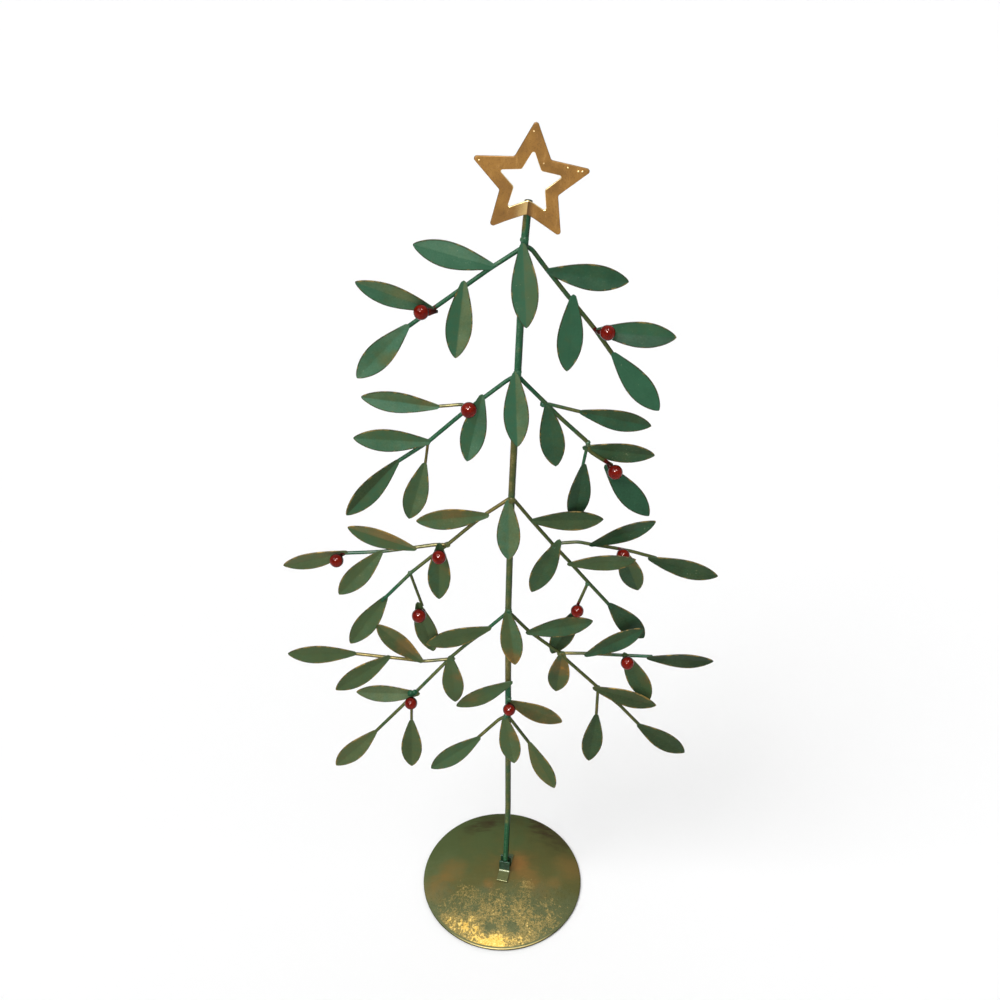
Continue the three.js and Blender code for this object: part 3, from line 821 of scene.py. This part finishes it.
draw("branch_3_right", [
    ([(6, 373), (8.6, 369.6), (18.5, 355.6), (33, 336), (44, 322), (57, 304.8), (71, 286.7)],
     1.2, (0.55, 0.3)),
    ([(33, 335), (38, 337.4), (49, 338.3), (57, 336.4), (72, 333.5), (84, 330.6), (96, 326.6)],
     1.1, (0.3, 0.55)),
    ([(56.4, 304), (50.4, 285)], 1.05, (0.4, 0.5)),
], [
    (18, 355.6, 0, -2, 0, (0.3, 0.25), (0.45, 0.4)),
    (37, 340.7, -112, 0, 3, (0.3, 0.3), (0.35, 0.35)),
    (56, 336, 28.5, 5, -13, (0.25, 0.2), (0.25, 0.3)),
    (94.4, 326, -11, 10, -5, (0.18, 0.22), (0.35, 0.35)),
    (42.4, 320.8, 18, 16, -10, (0.35, 0.35), (0.45, 0.45)),
    (76.8, 333.4, -71, -13, -4, (0.25, 0.41), (0.3, 0.45), ((0.35, 0.5, 7, 0.4),)),
    (51.3, 282, -111, -3, 0, (0.32, 0.18), (0.3, 0.4), (), 1.4),
    (71, 288, -54, -9, 7, (0.2, 0.2), (0.3, 0.25)),
])

# %% [markdown]
# ## Fourth tier
# The lowest wide tier was rubbed the most: half of one leaf on the left is brown and gold.

# %% Fourth tier
draw("branch_4_left", [
    ([(4.5, 280), (-9, 265.4), (-24, 251), (-35, 239), (-60.3, 206.2), (-71, 192), (-91, 167)],
     1.2, (0.2, 0.45)),
    ([(-34, 237.4), (-54, 235), (-69, 237.5), (-79, 238.8), (-99, 241.8)], 1.15, (0.7, 0.75)),
    ([(-64, 200), (-65, 178)], 1.0, (0.5, 0.6)),
], [
    (-7, 266.5, -163.5, 2, -2, (0.4, 0.35), (0.5, 0.5)),
    (-54.5, 234.8, 130.2, 1, -2, (0.55, 0.35), (0.65, 0.55), ((0.4, -0.4, 12, 0.5),)),
    (-77, 240.5, -147.5, 9.5, -3, (0.35, 0.4), (0.5, 0.45), (), -0.5),
    (-100, 243.3, 174, 7, -4, (0.45, 0.45), (0.5, 0.45)),
    (-35.5, 241, -87, -3, -5, (0.45, 0.5), (0.5, 0.5), ((0.45, 0.6, 7, 0.35),)),
    (-57.9, 205, -175, -7, -5, (0.65, 0.75), (0.5, 0.4)),
    (-65, 179, -92, 2, 2, (0.35, 0.45), (0.5, 0.55)),
    (-91, 168, -133, 3, -3, (0.5, 0.6), (0.6, 0.55)),
])
draw("branch_4_right", [
    ([(4.5, 280), (18, 263), (32, 250), (40, 243), (45.6, 235.6), (67.5, 210.6), (84, 193), (98, 175)],
     1.2, (0.45, 0.5)),
    ([(40, 242.6), (57, 242.4), (84, 240.6), (100, 239.7)], 1.15, (0.8, 0.1)),
    ([(68, 210), (68, 184)], 1.1, (0.5, 0.7)),
], [
    (16.3, 261.8, 12.5, -1, 7, (0.35, 0.3), (0.3, 0.35), ((0.72, 0.8, 8, 0.4),)),
    (57, 241, 33, 1, 0, (0.3, 0.25), (0.2, 0.35)),
    (100, 239, -3, 1, -10, (0.15, 0.1), (0.4, 0.4)),
    (84, 244, -64, 4, -5, (0.3, 0.35), (0.35, 0.45), ((0.6, 0.7, 7, 0.4),)),
    (42, 245, -94, -10, -5, (0.3, 0.5), (0.45, 0.6), ((0.35, 0.1, 13, 0.6),)),
    (64, 211, -12, 10, 0, (0.2, 0.25), (0.55, 0.6)),
    (68, 184.7, -94.5, 2, 2, (0.2, 0.25), (0.4, 0.4)),
    (98.1, 174.5, -38, 1, 5, (0.17, 0.19), (0.45, 0.45)),
])

# %% [markdown]
# ## Leaves on the rod, and the lowest sprig
# A leaf hides each joint of the rod. Under the fourth tier there are two such leaves, and below
# them a small sprig: a leaf between two stems with a leaf each, all on the front of the rod.

# %% Leaves on the rod and the sprig
ROD_LEAVES = {
    "rod_leaf_1": Leaf(11, 540.6, -87, 15, -1, (0.5, 0.5), (0.1, 0.35)),
    "rod_leaf_2": Leaf(7.5, 462.6, -88, 11, -5, (0.5, 0.7), (0.1, 0.35)),
    "rod_leaf_3": Leaf(4, 373, -89.5, 1, -3, (0.67, 0.7), (0.25, 0.4)),
    "rod_leaf_4": Leaf(
        3.5, 284, -83, 5, -4, (0.4, 0.6), (0.55, 0.35), ((0.82, -0.4, 9, 0.5), (0.9, 0.5, 7, 0.5))
    ),
    "rod_leaf_5_left": Leaf(7.5, 218.4, -149, 0, 4, (0.45, 0.45), (0.4, 0.35), ((0.7, -0.2, 14, 0.4),)),
    "rod_leaf_5_right": Leaf(4.5, 199.8, -32, -4, 5, (0.3, 0.35), (0.75, 0.7)),
}
SPRIG_DEPTH = -3.4
draw("sprig_5", [
    ([(3, 185), (-1.5, 182.5), (-15.5, 165.5)], 1.2, (0.4, 0.6)),
    ([(3, 185), (6, 183), (20, 158)], 1.2, (0.4, 0.45)),
], [
    (2, 186, -81, 3, -4, (0.53, 0.58), (0.45, 0.5), ((0.4, 0.8, 8, 0.4),)),
    (-15.5, 165, -142, 5, -9, (0.4, 0.5), (0.35, 0.35)),
    (20, 159.8, -65.2, 8, -16, (0.5, 0.4), (0.65, 0.5)),
], SPRIG_DEPTH)
print("leaves on the rod:", len(ROD_LEAVES))

# %% [markdown]
# ## The berries
# A bead is a ball, seated on a small flat at its back, with a nub of enamel that runs to the weld
# on the stem. The drawing gives the point that it is welded to, its centre and its radius, and
# its solid in the frame says how far back it sits.

# %% The berries
BERRY_FLAT = 0.4  # how much of the ball the flat takes off
BERRY_DENT = 0.015  # how uneven it is, as a share of its radius
BERRY_LUMPS = 2
BERRY_FRONT = Vector((-0.05, -0.88, 0.47))
RIM_SHADE_FROM = 0.72  # how far to the front a point faces where the painted shade starts
# how quickly the painted shade deepens
RIM_SHADE_OVER = 0.6
NUB = [(0, 3.0, 0.4), (0.5, 2.25, 0.6), (0.8, 1.35, 0.8), (1, 0.9, 1.0)]  # share, radius, darkness
# The x and z of the point on the stem and of the bead's centre, and the bead's radius.
BERRIES = {
    "berry_1_left": (-36, 500.5, -44.8, 501.8, 4.4),
    "berry_1_right": (53, 488, 59, 489.3, 4.5),
    "berry_2_left": (-20, 437, -19.4, 439.6, 4.85),
    "berry_2_right": (64, 400, 68.6, 396.2, 4.6),
    "berry_3_left_end": (-103, 329.5, -106, 328, 4.5),
    "berry_3_left_joint": (-41, 332, -40.2, 331, 4.75),
    "berry_3_left_low": (-51.5, 283, -55, 281.7, 4.85),
    "berry_3_right": (76, 332, 77.5, 331.9, 4.3),
    "berry_3_right_low": (51, 287, 50, 285, 4.35),
    "berry_4_left": (-64, 202, -64, 200.7, 4.5),
    "berry_4_right": (85, 241, 86, 240, 4.6),
    "berry_5": (5, 199, 5.3, 196.3, 4.5),
}


def make_berry(name, foot_x, foot_z, x, z, radius):
    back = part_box(name)[1].y
    centre = spot(x, z)
    centre.y = back - (radius - BERRY_FLAT) * MM
    foot = spot(foot_x, foot_z)
    foot.y = back
    body = Body()
    bead = []
    for point in BALL_POINTS:
        uneven = 1 + BERRY_DENT * noise.noise(point * BERRY_LUMPS)
        place = centre + point * radius * MM * uneven
        place.y = min(place.y, back)
        bead.append(place)
    # Painted shade: darker where the bead turns away from the front.
    rim_shade = [(RIM_SHADE_FROM - point.dot(BERRY_FRONT)) / RIM_SHADE_OVER for point in BALL_POINTS]
    body.add(bead, BALL_FACES, foot=[min(max(dark, 0), 1) for dark in rim_shade])
    along = (foot - centre).normalized()
    side = along.orthogonal().normalized()
    other = along.cross(side)
    rings = []
    for share, reach, dark in NUB:
        ring = []
        for turn in turns(WIRE_SIDES):
            way = side * math.cos(turn) + other * math.sin(turn)
            point = centre.lerp(foot, share) + way * reach * MM
            point.y = min(point.y, back)
            ring.append((point, dark))
        rings.append(ring)
    body.skin(rings, "foot")
    return body.piece(name.replace("berry", "bead"), BERRY_ENAMEL, "berry_red", name)


for name, numbers in BERRIES.items():
    make_berry(name, *numbers)
print("berries:", len(BERRIES))

# %% [markdown]
# ## Dressing the branches
# Now the drawing is turned into pieces: for each branch one piece of welded wire, and each leaf on
# its own, as they were cut. A wire runs on a little behind the leaf at its end.

# %% Wires and leaves of every branch
WIRE_UNDER_LEAF = 4  # how far a wire runs on, in mm
SPILT_WELDS = {"branch_4_left": [(-64.4, 205.6, 2.3), (-61.5, 206.4, 1.9)]}  # lumps beside a joint
TWIG_WELD = 1.6  # the size of a weld, in radii of its twig
RED_REACH = 4.5  # how far the enamel ran along a stem, in mm


def near_berry(place):
    gaps = [(Vector((foot_x, foot_z)) - place).length for foot_x, foot_z, *_ in BERRIES.values()]
    return max(0.0, 1 - min(gaps) / RED_REACH)


def run_on(route):
    before, last = Vector(route[-2]), Vector(route[-1])
    return [*route[:-1], tuple(last + (last - before).normalized() * WIRE_UNDER_LEAF)]


def fading_wear(route, wears):
    """Wear that changes evenly from the start of a wire to its end."""
    start, length = Vector(route[0]), (Vector(route[-1]) - Vector(route[0])).length
    return lambda place, side: wears[0] + (wears[1] - wears[0]) * (place - start).length / length


def make_branch(name, wires, leaves, depth):
    word = name.split("_", 1)[1]
    body = Body()
    for route, radius, wears in wires:
        add_wire(body, run_on(route), radius, depth, fading_wear(route, wears), near_berry)
    for route, radius, wears in wires[1:]:
        add_weld(body, *route[0], radius * TWIG_WELD, depth, rub=wears[0] / 2)
    for x, z, radius in SPILT_WELDS.get(name, ()):
        add_weld(body, x, z, radius, depth - 1, tone=0.45, rub=0)
    body.piece(f"wires_{word}", STEM_PAINT, "stem_green", name)
    for number, leaf in enumerate(leaves, start=1):
        make_leaf(f"leaf_{word}_{number}", leaf, depth + ON_WIRE, name)


for name, branch in BRANCHES.items():
    make_branch(name, *branch)
for name, leaf in ROD_LEAVES.items():
    make_leaf(name.replace("rod_leaf", "leaf_on_rod"), leaf, ON_ROD, name)

# %% [markdown]
# ## The rod
# One rod is the whole trunk, bent a little at every tier. Its paint is worn to brown and gold in
# two stretches, and a weld bead sits on it just above every joint.

# %% The rod
ROD_RADIUS = 2.15
ROD_WELD_RADIUS = 2.3
ROD_WELD_DEPTH = -1.6
ROD_ROUTE = [ROD_FOOT, (5, 80), (4.3, 281), (5.9, 371), (9, 459), (12, 541), (13.9, 563.0)]
# A weld's place and its wear.
ROD_WELDS = [(12, 542, 0.1), (9.1, 461, 0.1), (5.9, 372, 0.6), (4.5, 282, 0.3), (4.7, 200, 0.1)]
# A height on the rod, and its wear there on the left and on the right.
ROD_WEAR = [
    (10, 0.1, 0.1), (60, 0.15, 0.1), (90, 0.4, 0.35), (185, 0.4, 0.35), (195, 0.1, 0.1),
    (212, 0.1, 0.1), (217, 0.75, 0.6), (236, 0.75, 0.55), (244, 0.4, 0.35),
    (330, 0.4, 0.3), (372, 0.2, 0.2), (380, 0.75, 0.35), (420, 0.8, 0.4),
    (432, 0.15, 0.1), (545, 0.1, 0.1), (549, 1.0, -0.6), (566, 1.0, -0.6),
]


def rod_wear(place, side):
    """side runs from -1 on the left of the rod to 1 on the right."""
    for (low, *wears), (high, *next_wears) in zip(ROD_WEAR, ROD_WEAR[1:]):
        if place.y <= high:
            share = max(0.0, (place.y - low) / (high - low))
            left, right = (wear + (after - wear) * share for wear, after in zip(wears, next_wears))
            return left + (right - left) * (side + 1) / 2
    return ROD_WEAR[-1][1]


def make_rod():
    rod = Body()
    add_wire(rod, ROD_ROUTE, ROD_RADIUS, 0, rod_wear, sides=24, bend=12, tone=0.4)
    for x, z, wear in ROD_WELDS:
        add_weld(rod, x, z, ROD_WELD_RADIUS, ROD_WELD_DEPTH, tone=0.55, rub=wear)
    return rod.piece("trunk", STEM_PAINT, "stem_green", "rod")


trunk = make_rod()
print("trunk has points:", len(trunk.data.vertices))

# %% [markdown]
# ## The star
# The star is cut from sheet with a smaller star cut out of it, and pressed over the rod's end, so
# its lowest notch has a crease. Outer and inner outline are walked together, with every corner
# rounded, and the sheet between them gets a thin bevel that catches the light. No two tips are
# equal, the crease is steeper on its right, and a few drops of gold dried on it.

# %% The star
STAR_CENTRE = (14.4, 572.8)
STAR_TURN = -6  # degrees
STAR_TIPS = [(0.8, 33.6), (-1.4, 34.1), (0, 32.2), (0, 34.3), (0, 33.6)]  # turn and distance
STAR_NOTCH = 16.3
STAR_ROUNDS = (1.5, 1.8)  # the rounding of its tips and notches
HOLE_TIP = 17.8
HOLE_NOTCH = 8.6
HOLE_ROUNDS = (1.0, 1.8)
STAR_SHEET = 1.2
STAR_CREASE = 1.6  # how far it comes forward
STAR_CREASE_AT = 0.2  # up to here, on the right of the notch, it is at its highest
STAR_CREASE_LEFT = 11  # how far from the notch the sheet starts to bend
STAR_CREASE_RIGHT = 3
STAR_BACK = -0.7  # depth of the back of its flat part
STAR_BEVEL = 0.25
CORNER_STEPS = 6
STRAIGHT_STEPS = 5
STAR_DROPS = [
    (25, 6.3, 0.6), (27.1, 6.3, 0.6), (19.5, 8.2, 0.45),
    (7, 10.5, 0.4), (-26.4, 12.3, 0.4), (1.6, 27, 0.4),
]


def star_corners(tips, notch):
    """The corners of a five-pointed star. Each tip has a turn of its own and a distance."""
    corners = []
    for number, (turned, tip) in enumerate(tips):
        for reach, turn in ((tip, turned), (notch, 36)):
            angle = math.radians(90 + STAR_TURN + 72 * number + turn)
            corners.append(Vector((reach * math.cos(angle), reach * math.sin(angle))))
    return corners


def filleted(corners, radii):
    """The outline with a round at each corner, and the same number of points at every one."""
    rounds = []
    for number, corner in enumerate(corners):
        before = (corners[number - 1] - corner).normalized()
        after = (corners[(number + 1) % len(corners)] - corner).normalized()
        half = before.angle(after) / 2
        radius = radii[number % 2]
        middle = corner + (before + after).normalized() * radius / math.sin(half)
        start, end = (corner + way * radius / math.tan(half) - middle for way in (before, after))
        shares = [step / CORNER_STEPS for step in range(CORNER_STEPS + 1)]
        rounds.append([middle + start.lerp(end, share).normalized() * radius for share in shares])
    outline = []
    for number, points in enumerate(rounds):
        following = rounds[(number + 1) % len(rounds)][0]
        straight = [step / STRAIGHT_STEPS for step in range(1, STRAIGHT_STEPS)]
        outline += points + [points[-1].lerp(following, share) for share in straight]
    return outline


def crease_side(place):
    """1 at the crease, falling to 0 where it ends on the left, and below 0 on its right."""
    upright = place.copy()
    upright.rotate(Matrix.Rotation(-math.radians(STAR_TURN), 2))
    if upright.y > 0:
        return 0.0
    if upright.x <= STAR_CREASE_AT:
        return max(0.0, 1 + min(upright.x, 0) / STAR_CREASE_LEFT)
    return -max(0.0, 1 - upright.x / STAR_CREASE_RIGHT)


def crease_depth(place):
    """How far the crease over the rod pushes the sheet forward there."""
    side = crease_side(place)
    return STAR_CREASE * (side**1.5 if side > 0 else -side)


def make_star():
    outer = filleted(star_corners(STAR_TIPS, STAR_NOTCH), STAR_ROUNDS)
    inner = filleted(star_corners([(0, HOLE_TIP)] * 5, HOLE_NOTCH), HOLE_ROUNDS)
    centre = spot(*STAR_CENTRE)
    rings = []
    for out, inn in zip(outer, inner):
        bevel = (inn - out).normalized() * STAR_BEVEL
        # Each point of the slice: its place, its share of the way back, how much it is an edge.
        outside = [(out, 0.25, -1), (out + bevel, 0, -1), (out + bevel * 2, 0, 0)]
        inside = [(inn - bevel * 2, 0, 0.6), (inn - bevel, 0, 1), (inn, 0.25, 1)]
        back = [(place, 1 - share, edge) for place, share, edge in reversed(outside + inside)]
        thirds = [(out.lerp(inn, share), 0, 0) for share in (1 / 3, 2 / 3)]
        ring = []
        for place, share, edge in outside + thirds + inside + back:
            depth = STAR_BACK - STAR_SHEET * (1 - share) - crease_depth(place)
            point = centre + Vector((place.x, depth, place.y)) * MM
            ring.append((point, edge, crease_side(place)))
        rings.append(ring)
    star = Body()
    star.skin(rings, "edge facet", closed=True)
    # The drops are painted like the hole's edges: lighter gold with a painted highlight.
    for x, z, radius in STAR_DROPS:
        drop = centre + Vector((x, STAR_BACK - STAR_SHEET, z)) * MM
        star.add([drop + point * radius * MM for point in BALL_POINTS], BALL_FACES, edge=1.0, facet=0.0)
    return star.piece("pierced_star", STAR_GOLD, "star_gold", "star")


make_star()
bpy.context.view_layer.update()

# %% [markdown]
# ## The base
# The base is spun sheet: a shallow dome with its edge rolled under. Its profile is a row of
# points from the middle of the top, over the rolled edge and back inside, and each point of the
# profile is carried round in a circle.

# %% The base
BASE_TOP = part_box("base")[1].z
BASE_SIDES = 128
DOME_SHARES = (0.0005, 0.05, 0.15, 0.3, 0.45, 0.6, 0.72, 0.82, 0.9, 0.95, 0.98)
DOME_INSET = 1 * MM  # the dome ends this far inside the rim
HEM_ROUND = 1.1 * MM
HEM_TURNS = range(70, -71, -20)  # degrees round the rolled edge
HEM_FLAT = 1.6 * MM  # how far inside the rim its flat underside starts
HEM_WIDTH = 4 * MM
HEM_LIP = 0.9 * MM
BASE_SHEET = 1.8 * MM


def base_profile():
    edge = BASE_RADIUS - DOME_INSET
    fall = BASE_TOP - 2 * HEM_ROUND
    sphere = (edge * edge + fall * fall) / (2 * fall)
    reaches = [share * edge for share in DOME_SHARES]
    dome = [(r, BASE_TOP - sphere + math.sqrt(sphere * sphere - r * r)) for r in reaches]
    hem = []
    for turn in map(math.radians, HEM_TURNS):
        hem.append((BASE_RADIUS - HEM_ROUND * (1 - math.cos(turn)), HEM_ROUND * (1 + math.sin(turn))))
    foot = BASE_RADIUS - HEM_WIDTH
    under = [(BASE_RADIUS - HEM_FLAT, 0), (foot, 0), (foot, HEM_LIP)]
    inside = [(r, z - BASE_SHEET) for r, z in reversed(dome) if r < foot - DOME_INSET]
    return dome + hem + under + inside


def make_base():
    around = [(math.cos(turn), math.sin(turn)) for turn in turns(BASE_SIDES)]
    base = Body()
    base.skin([[(Vector((r * x, r * y, z)),) for x, y in around] for r, z in base_profile()])
    return base.piece("domed_base", BASE_PATINA, "base_patina", "base")


make_base()
print("base radius in mm:", round(BASE_RADIUS / MM, 1))

# %% [markdown]
# ## Bracket paint
# The brackets were sprayed with the rod, so their upright part is green. The foot is worn to a
# brassy olive, and its edges and the bend are rubbed metal with a painted highlight on them. The
# mesh says how far a point belongs to the foot and where it carries that highlight. The bracket
# behind the rod is painted less worn, with half of the painted highlight.


# %% Bracket paint
def bracket_paint():
    paint = Finish("bracket_paint", Specular_IOR_Level=0.2, Coat_Weight=0.2, Coat_Roughness=0.25)
    grain = paint.cloud(1.2, detail=4, roughness=0.65)
    patchy = paint.cloud(4, detail=3)
    foot = paint.between(paint.painted("foot") + patchy * 0.3, 0.3, 0.7)
    bright = paint.between(paint.painted("bright") + grain * 0.6, 0.55, 0.9)
    paint.lay("123322")
    paint.lay("1f4c32", paint.between(patchy, -0.2, 0.2))
    paint.lay(paint.shades(patchy + 0.5, "43451f", "62663a", "7c7e52"), foot)
    # Painted highlight on the rubbed edges and the bend.
    paint.lay("a5a271", bright * 0.6)
    return paint.dry(grain, 0.05, Metallic=0.1 + bright * 0.4, Roughness=0.45 + grain * 0.2)


BRACKET_PAINT = bracket_paint()

# %% [markdown]
# ## The brackets
# Two strips bent to an L hold the rod's foot between them, one in front and one behind. They are
# an outline pushed through the strip's width, with its edges broken by a small bevel.

# %% The brackets
BRACKET_WIDTH = 8.4
BRACKET_HEIGHT = 11.5
BRACKET_REACH = 13
BRACKET_SHEET = 1.2
BRACKET_TURN = math.radians(12)
BRACKET_BEND = 1.4  # the rounding of the bend
BRACKET_GAP = 0.15  # between the rod and the strip
BRACKET_BEVEL = 0.2


def make_bracket(name, node, turn, worn):
    near = ROD_RADIUS + BRACKET_GAP
    far = near + BRACKET_SHEET
    # Each point of the outline: reach, height, whether it is foot, how much painted highlight it has.
    outline = [
        (near, BRACKET_HEIGHT, 0, 0), (far, BRACKET_HEIGHT, 0, 0.3), (far, BRACKET_SHEET + 2, 0, 0),
    ]
    for step, bright in enumerate((0, 1, 0.7, 0, 0)):
        turned = step / 4 * math.pi / 2
        reach = far + BRACKET_BEND * (1 - math.cos(turned))
        outline.append((reach, BRACKET_SHEET + BRACKET_BEND * (1 - math.sin(turned)), step / 4, bright))
    outline += [
        (far + BRACKET_BEND + 0.5, BRACKET_SHEET, 1, 0), (BRACKET_REACH - 0.7, BRACKET_SHEET, 1, 0),
        (BRACKET_REACH, BRACKET_SHEET, 1, 1), (BRACKET_REACH, 0, 1, 0), (near, 0, 0.5, 0),
    ]
    rings = []
    for side in (-0.5, 0.5):
        ring = []
        for reach, height, foot, bright in outline:
            place = Vector((reach, side * BRACKET_WIDTH, height))
            place.rotate(Matrix.Rotation(turn, 3, "Z"))
            ring.append((spot(*ROD_FOOT) + place * MM, foot * worn, bright * worn))
        rings.append(ring)
    bracket = Body()
    bracket.skin(rings, "foot bright")
    made = bracket.piece(name, BRACKET_PAINT, "base_patina", node)
    bevel = made.modifiers.new("broken edges", "BEVEL")
    bevel.width = BRACKET_BEVEL * MM
    bevel.segments = 2
    bevel.harden_normals = True
    return made


# worn scales the foot's olive and its painted highlight, so the bracket behind gets half.
make_bracket("front_bracket", "bracket_front", -math.pi / 2 - BRACKET_TURN, 1.0)
make_bracket("back_bracket", "bracket_rear", math.pi / 2 - BRACKET_TURN, 0.5)

# %% [markdown]
# ## Floor and light
# The photograph was taken on white. Its shadow is faint, has no sharp edge and falls to the
# right, so the main light is a wide softbox high on the left, a little in front. A sun lamp with
# a large disc is such a softbox that lights the whole floor evenly. Two small ones are the bare
# bulbs whose points of light show on every berry and wire. They are seen in gloss only, so they
# cast no hard shadow. The room around them is a world that is brightest overhead, which keeps the
# green of upright leaves deep.

# %% Floor and light
TO_SOFTBOX = (-0.5, -0.3, 0.82)
SOFTBOX_ANGLE = math.radians(32)
SOFTBOX_POWER = 1.55
GLINT_ANGLE = math.radians(14)
GLINTS = [((-0.22, -0.71, 0.67), 9.0), ((0.15, -0.37, 0.91), 4.5)]  # direction and power
SKY_OVERHEAD = 0.83
SKY_LEVEL = 0.3
FLOOR_HALF = 12.0  # in metres


def make_floor():
    mesh = bpy.data.meshes.new("floor")
    corners = [(x * FLOOR_HALF, y * FLOOR_HALF, 0) for x, y in ((-1, -1), (1, -1), (1, 1), (-1, 1))]
    mesh.from_pydata(corners, [], [(0, 1, 2, 3)])
    white = Finish("floor_paint", Base_Color="fafafa", Roughness=0.9, Specular_IOR_Level=0.0)
    mesh.materials.append(white.material)
    floor = add_object("floor", mesh)


def make_lamp(name, towards, angle, power, seen_only_in_gloss=False):
    data = bpy.data.lights.new(name, "SUN")
    data.angle = angle
    data.energy = power
    lamp = add_object(name, data)
    lamp.rotation_euler = Vector(towards).to_track_quat("Z", "Y").to_euler()
    lamp.visible_diffuse = not seen_only_in_gloss


def make_room():
    world = bpy.data.worlds.new("room")
    room = Nodes(world)
    sight = room.node("ShaderNodeTexCoord", output="Generated")
    height = room.node("ShaderNodeSeparateXYZ", None, {"Vector": sight}, output="Z")
    strengths = {"Value": height, "To Min": SKY_LEVEL, "To Max": SKY_OVERHEAD}
    background = room.nodes["Background"]
    room.feed(background.inputs["Strength"], room.node("ShaderNodeMapRange", None, strengths))
    room.feed(background.inputs["Color"], (1, 1, 1, 1))
    bpy.context.scene.world = world


make_floor()
make_lamp("softbox", TO_SOFTBOX, SOFTBOX_ANGLE, SOFTBOX_POWER)
for number, (towards, power) in enumerate(GLINTS, start=1):
    make_lamp(f"glint_{number}", towards, GLINT_ANGLE, power, seen_only_in_gloss=True)
make_room()
bpy.context.scene.view_settings.view_transform = "Standard"
print("softbox height in degrees:", round(math.degrees(math.asin(Vector(TO_SOFTBOX).normalized().z))))
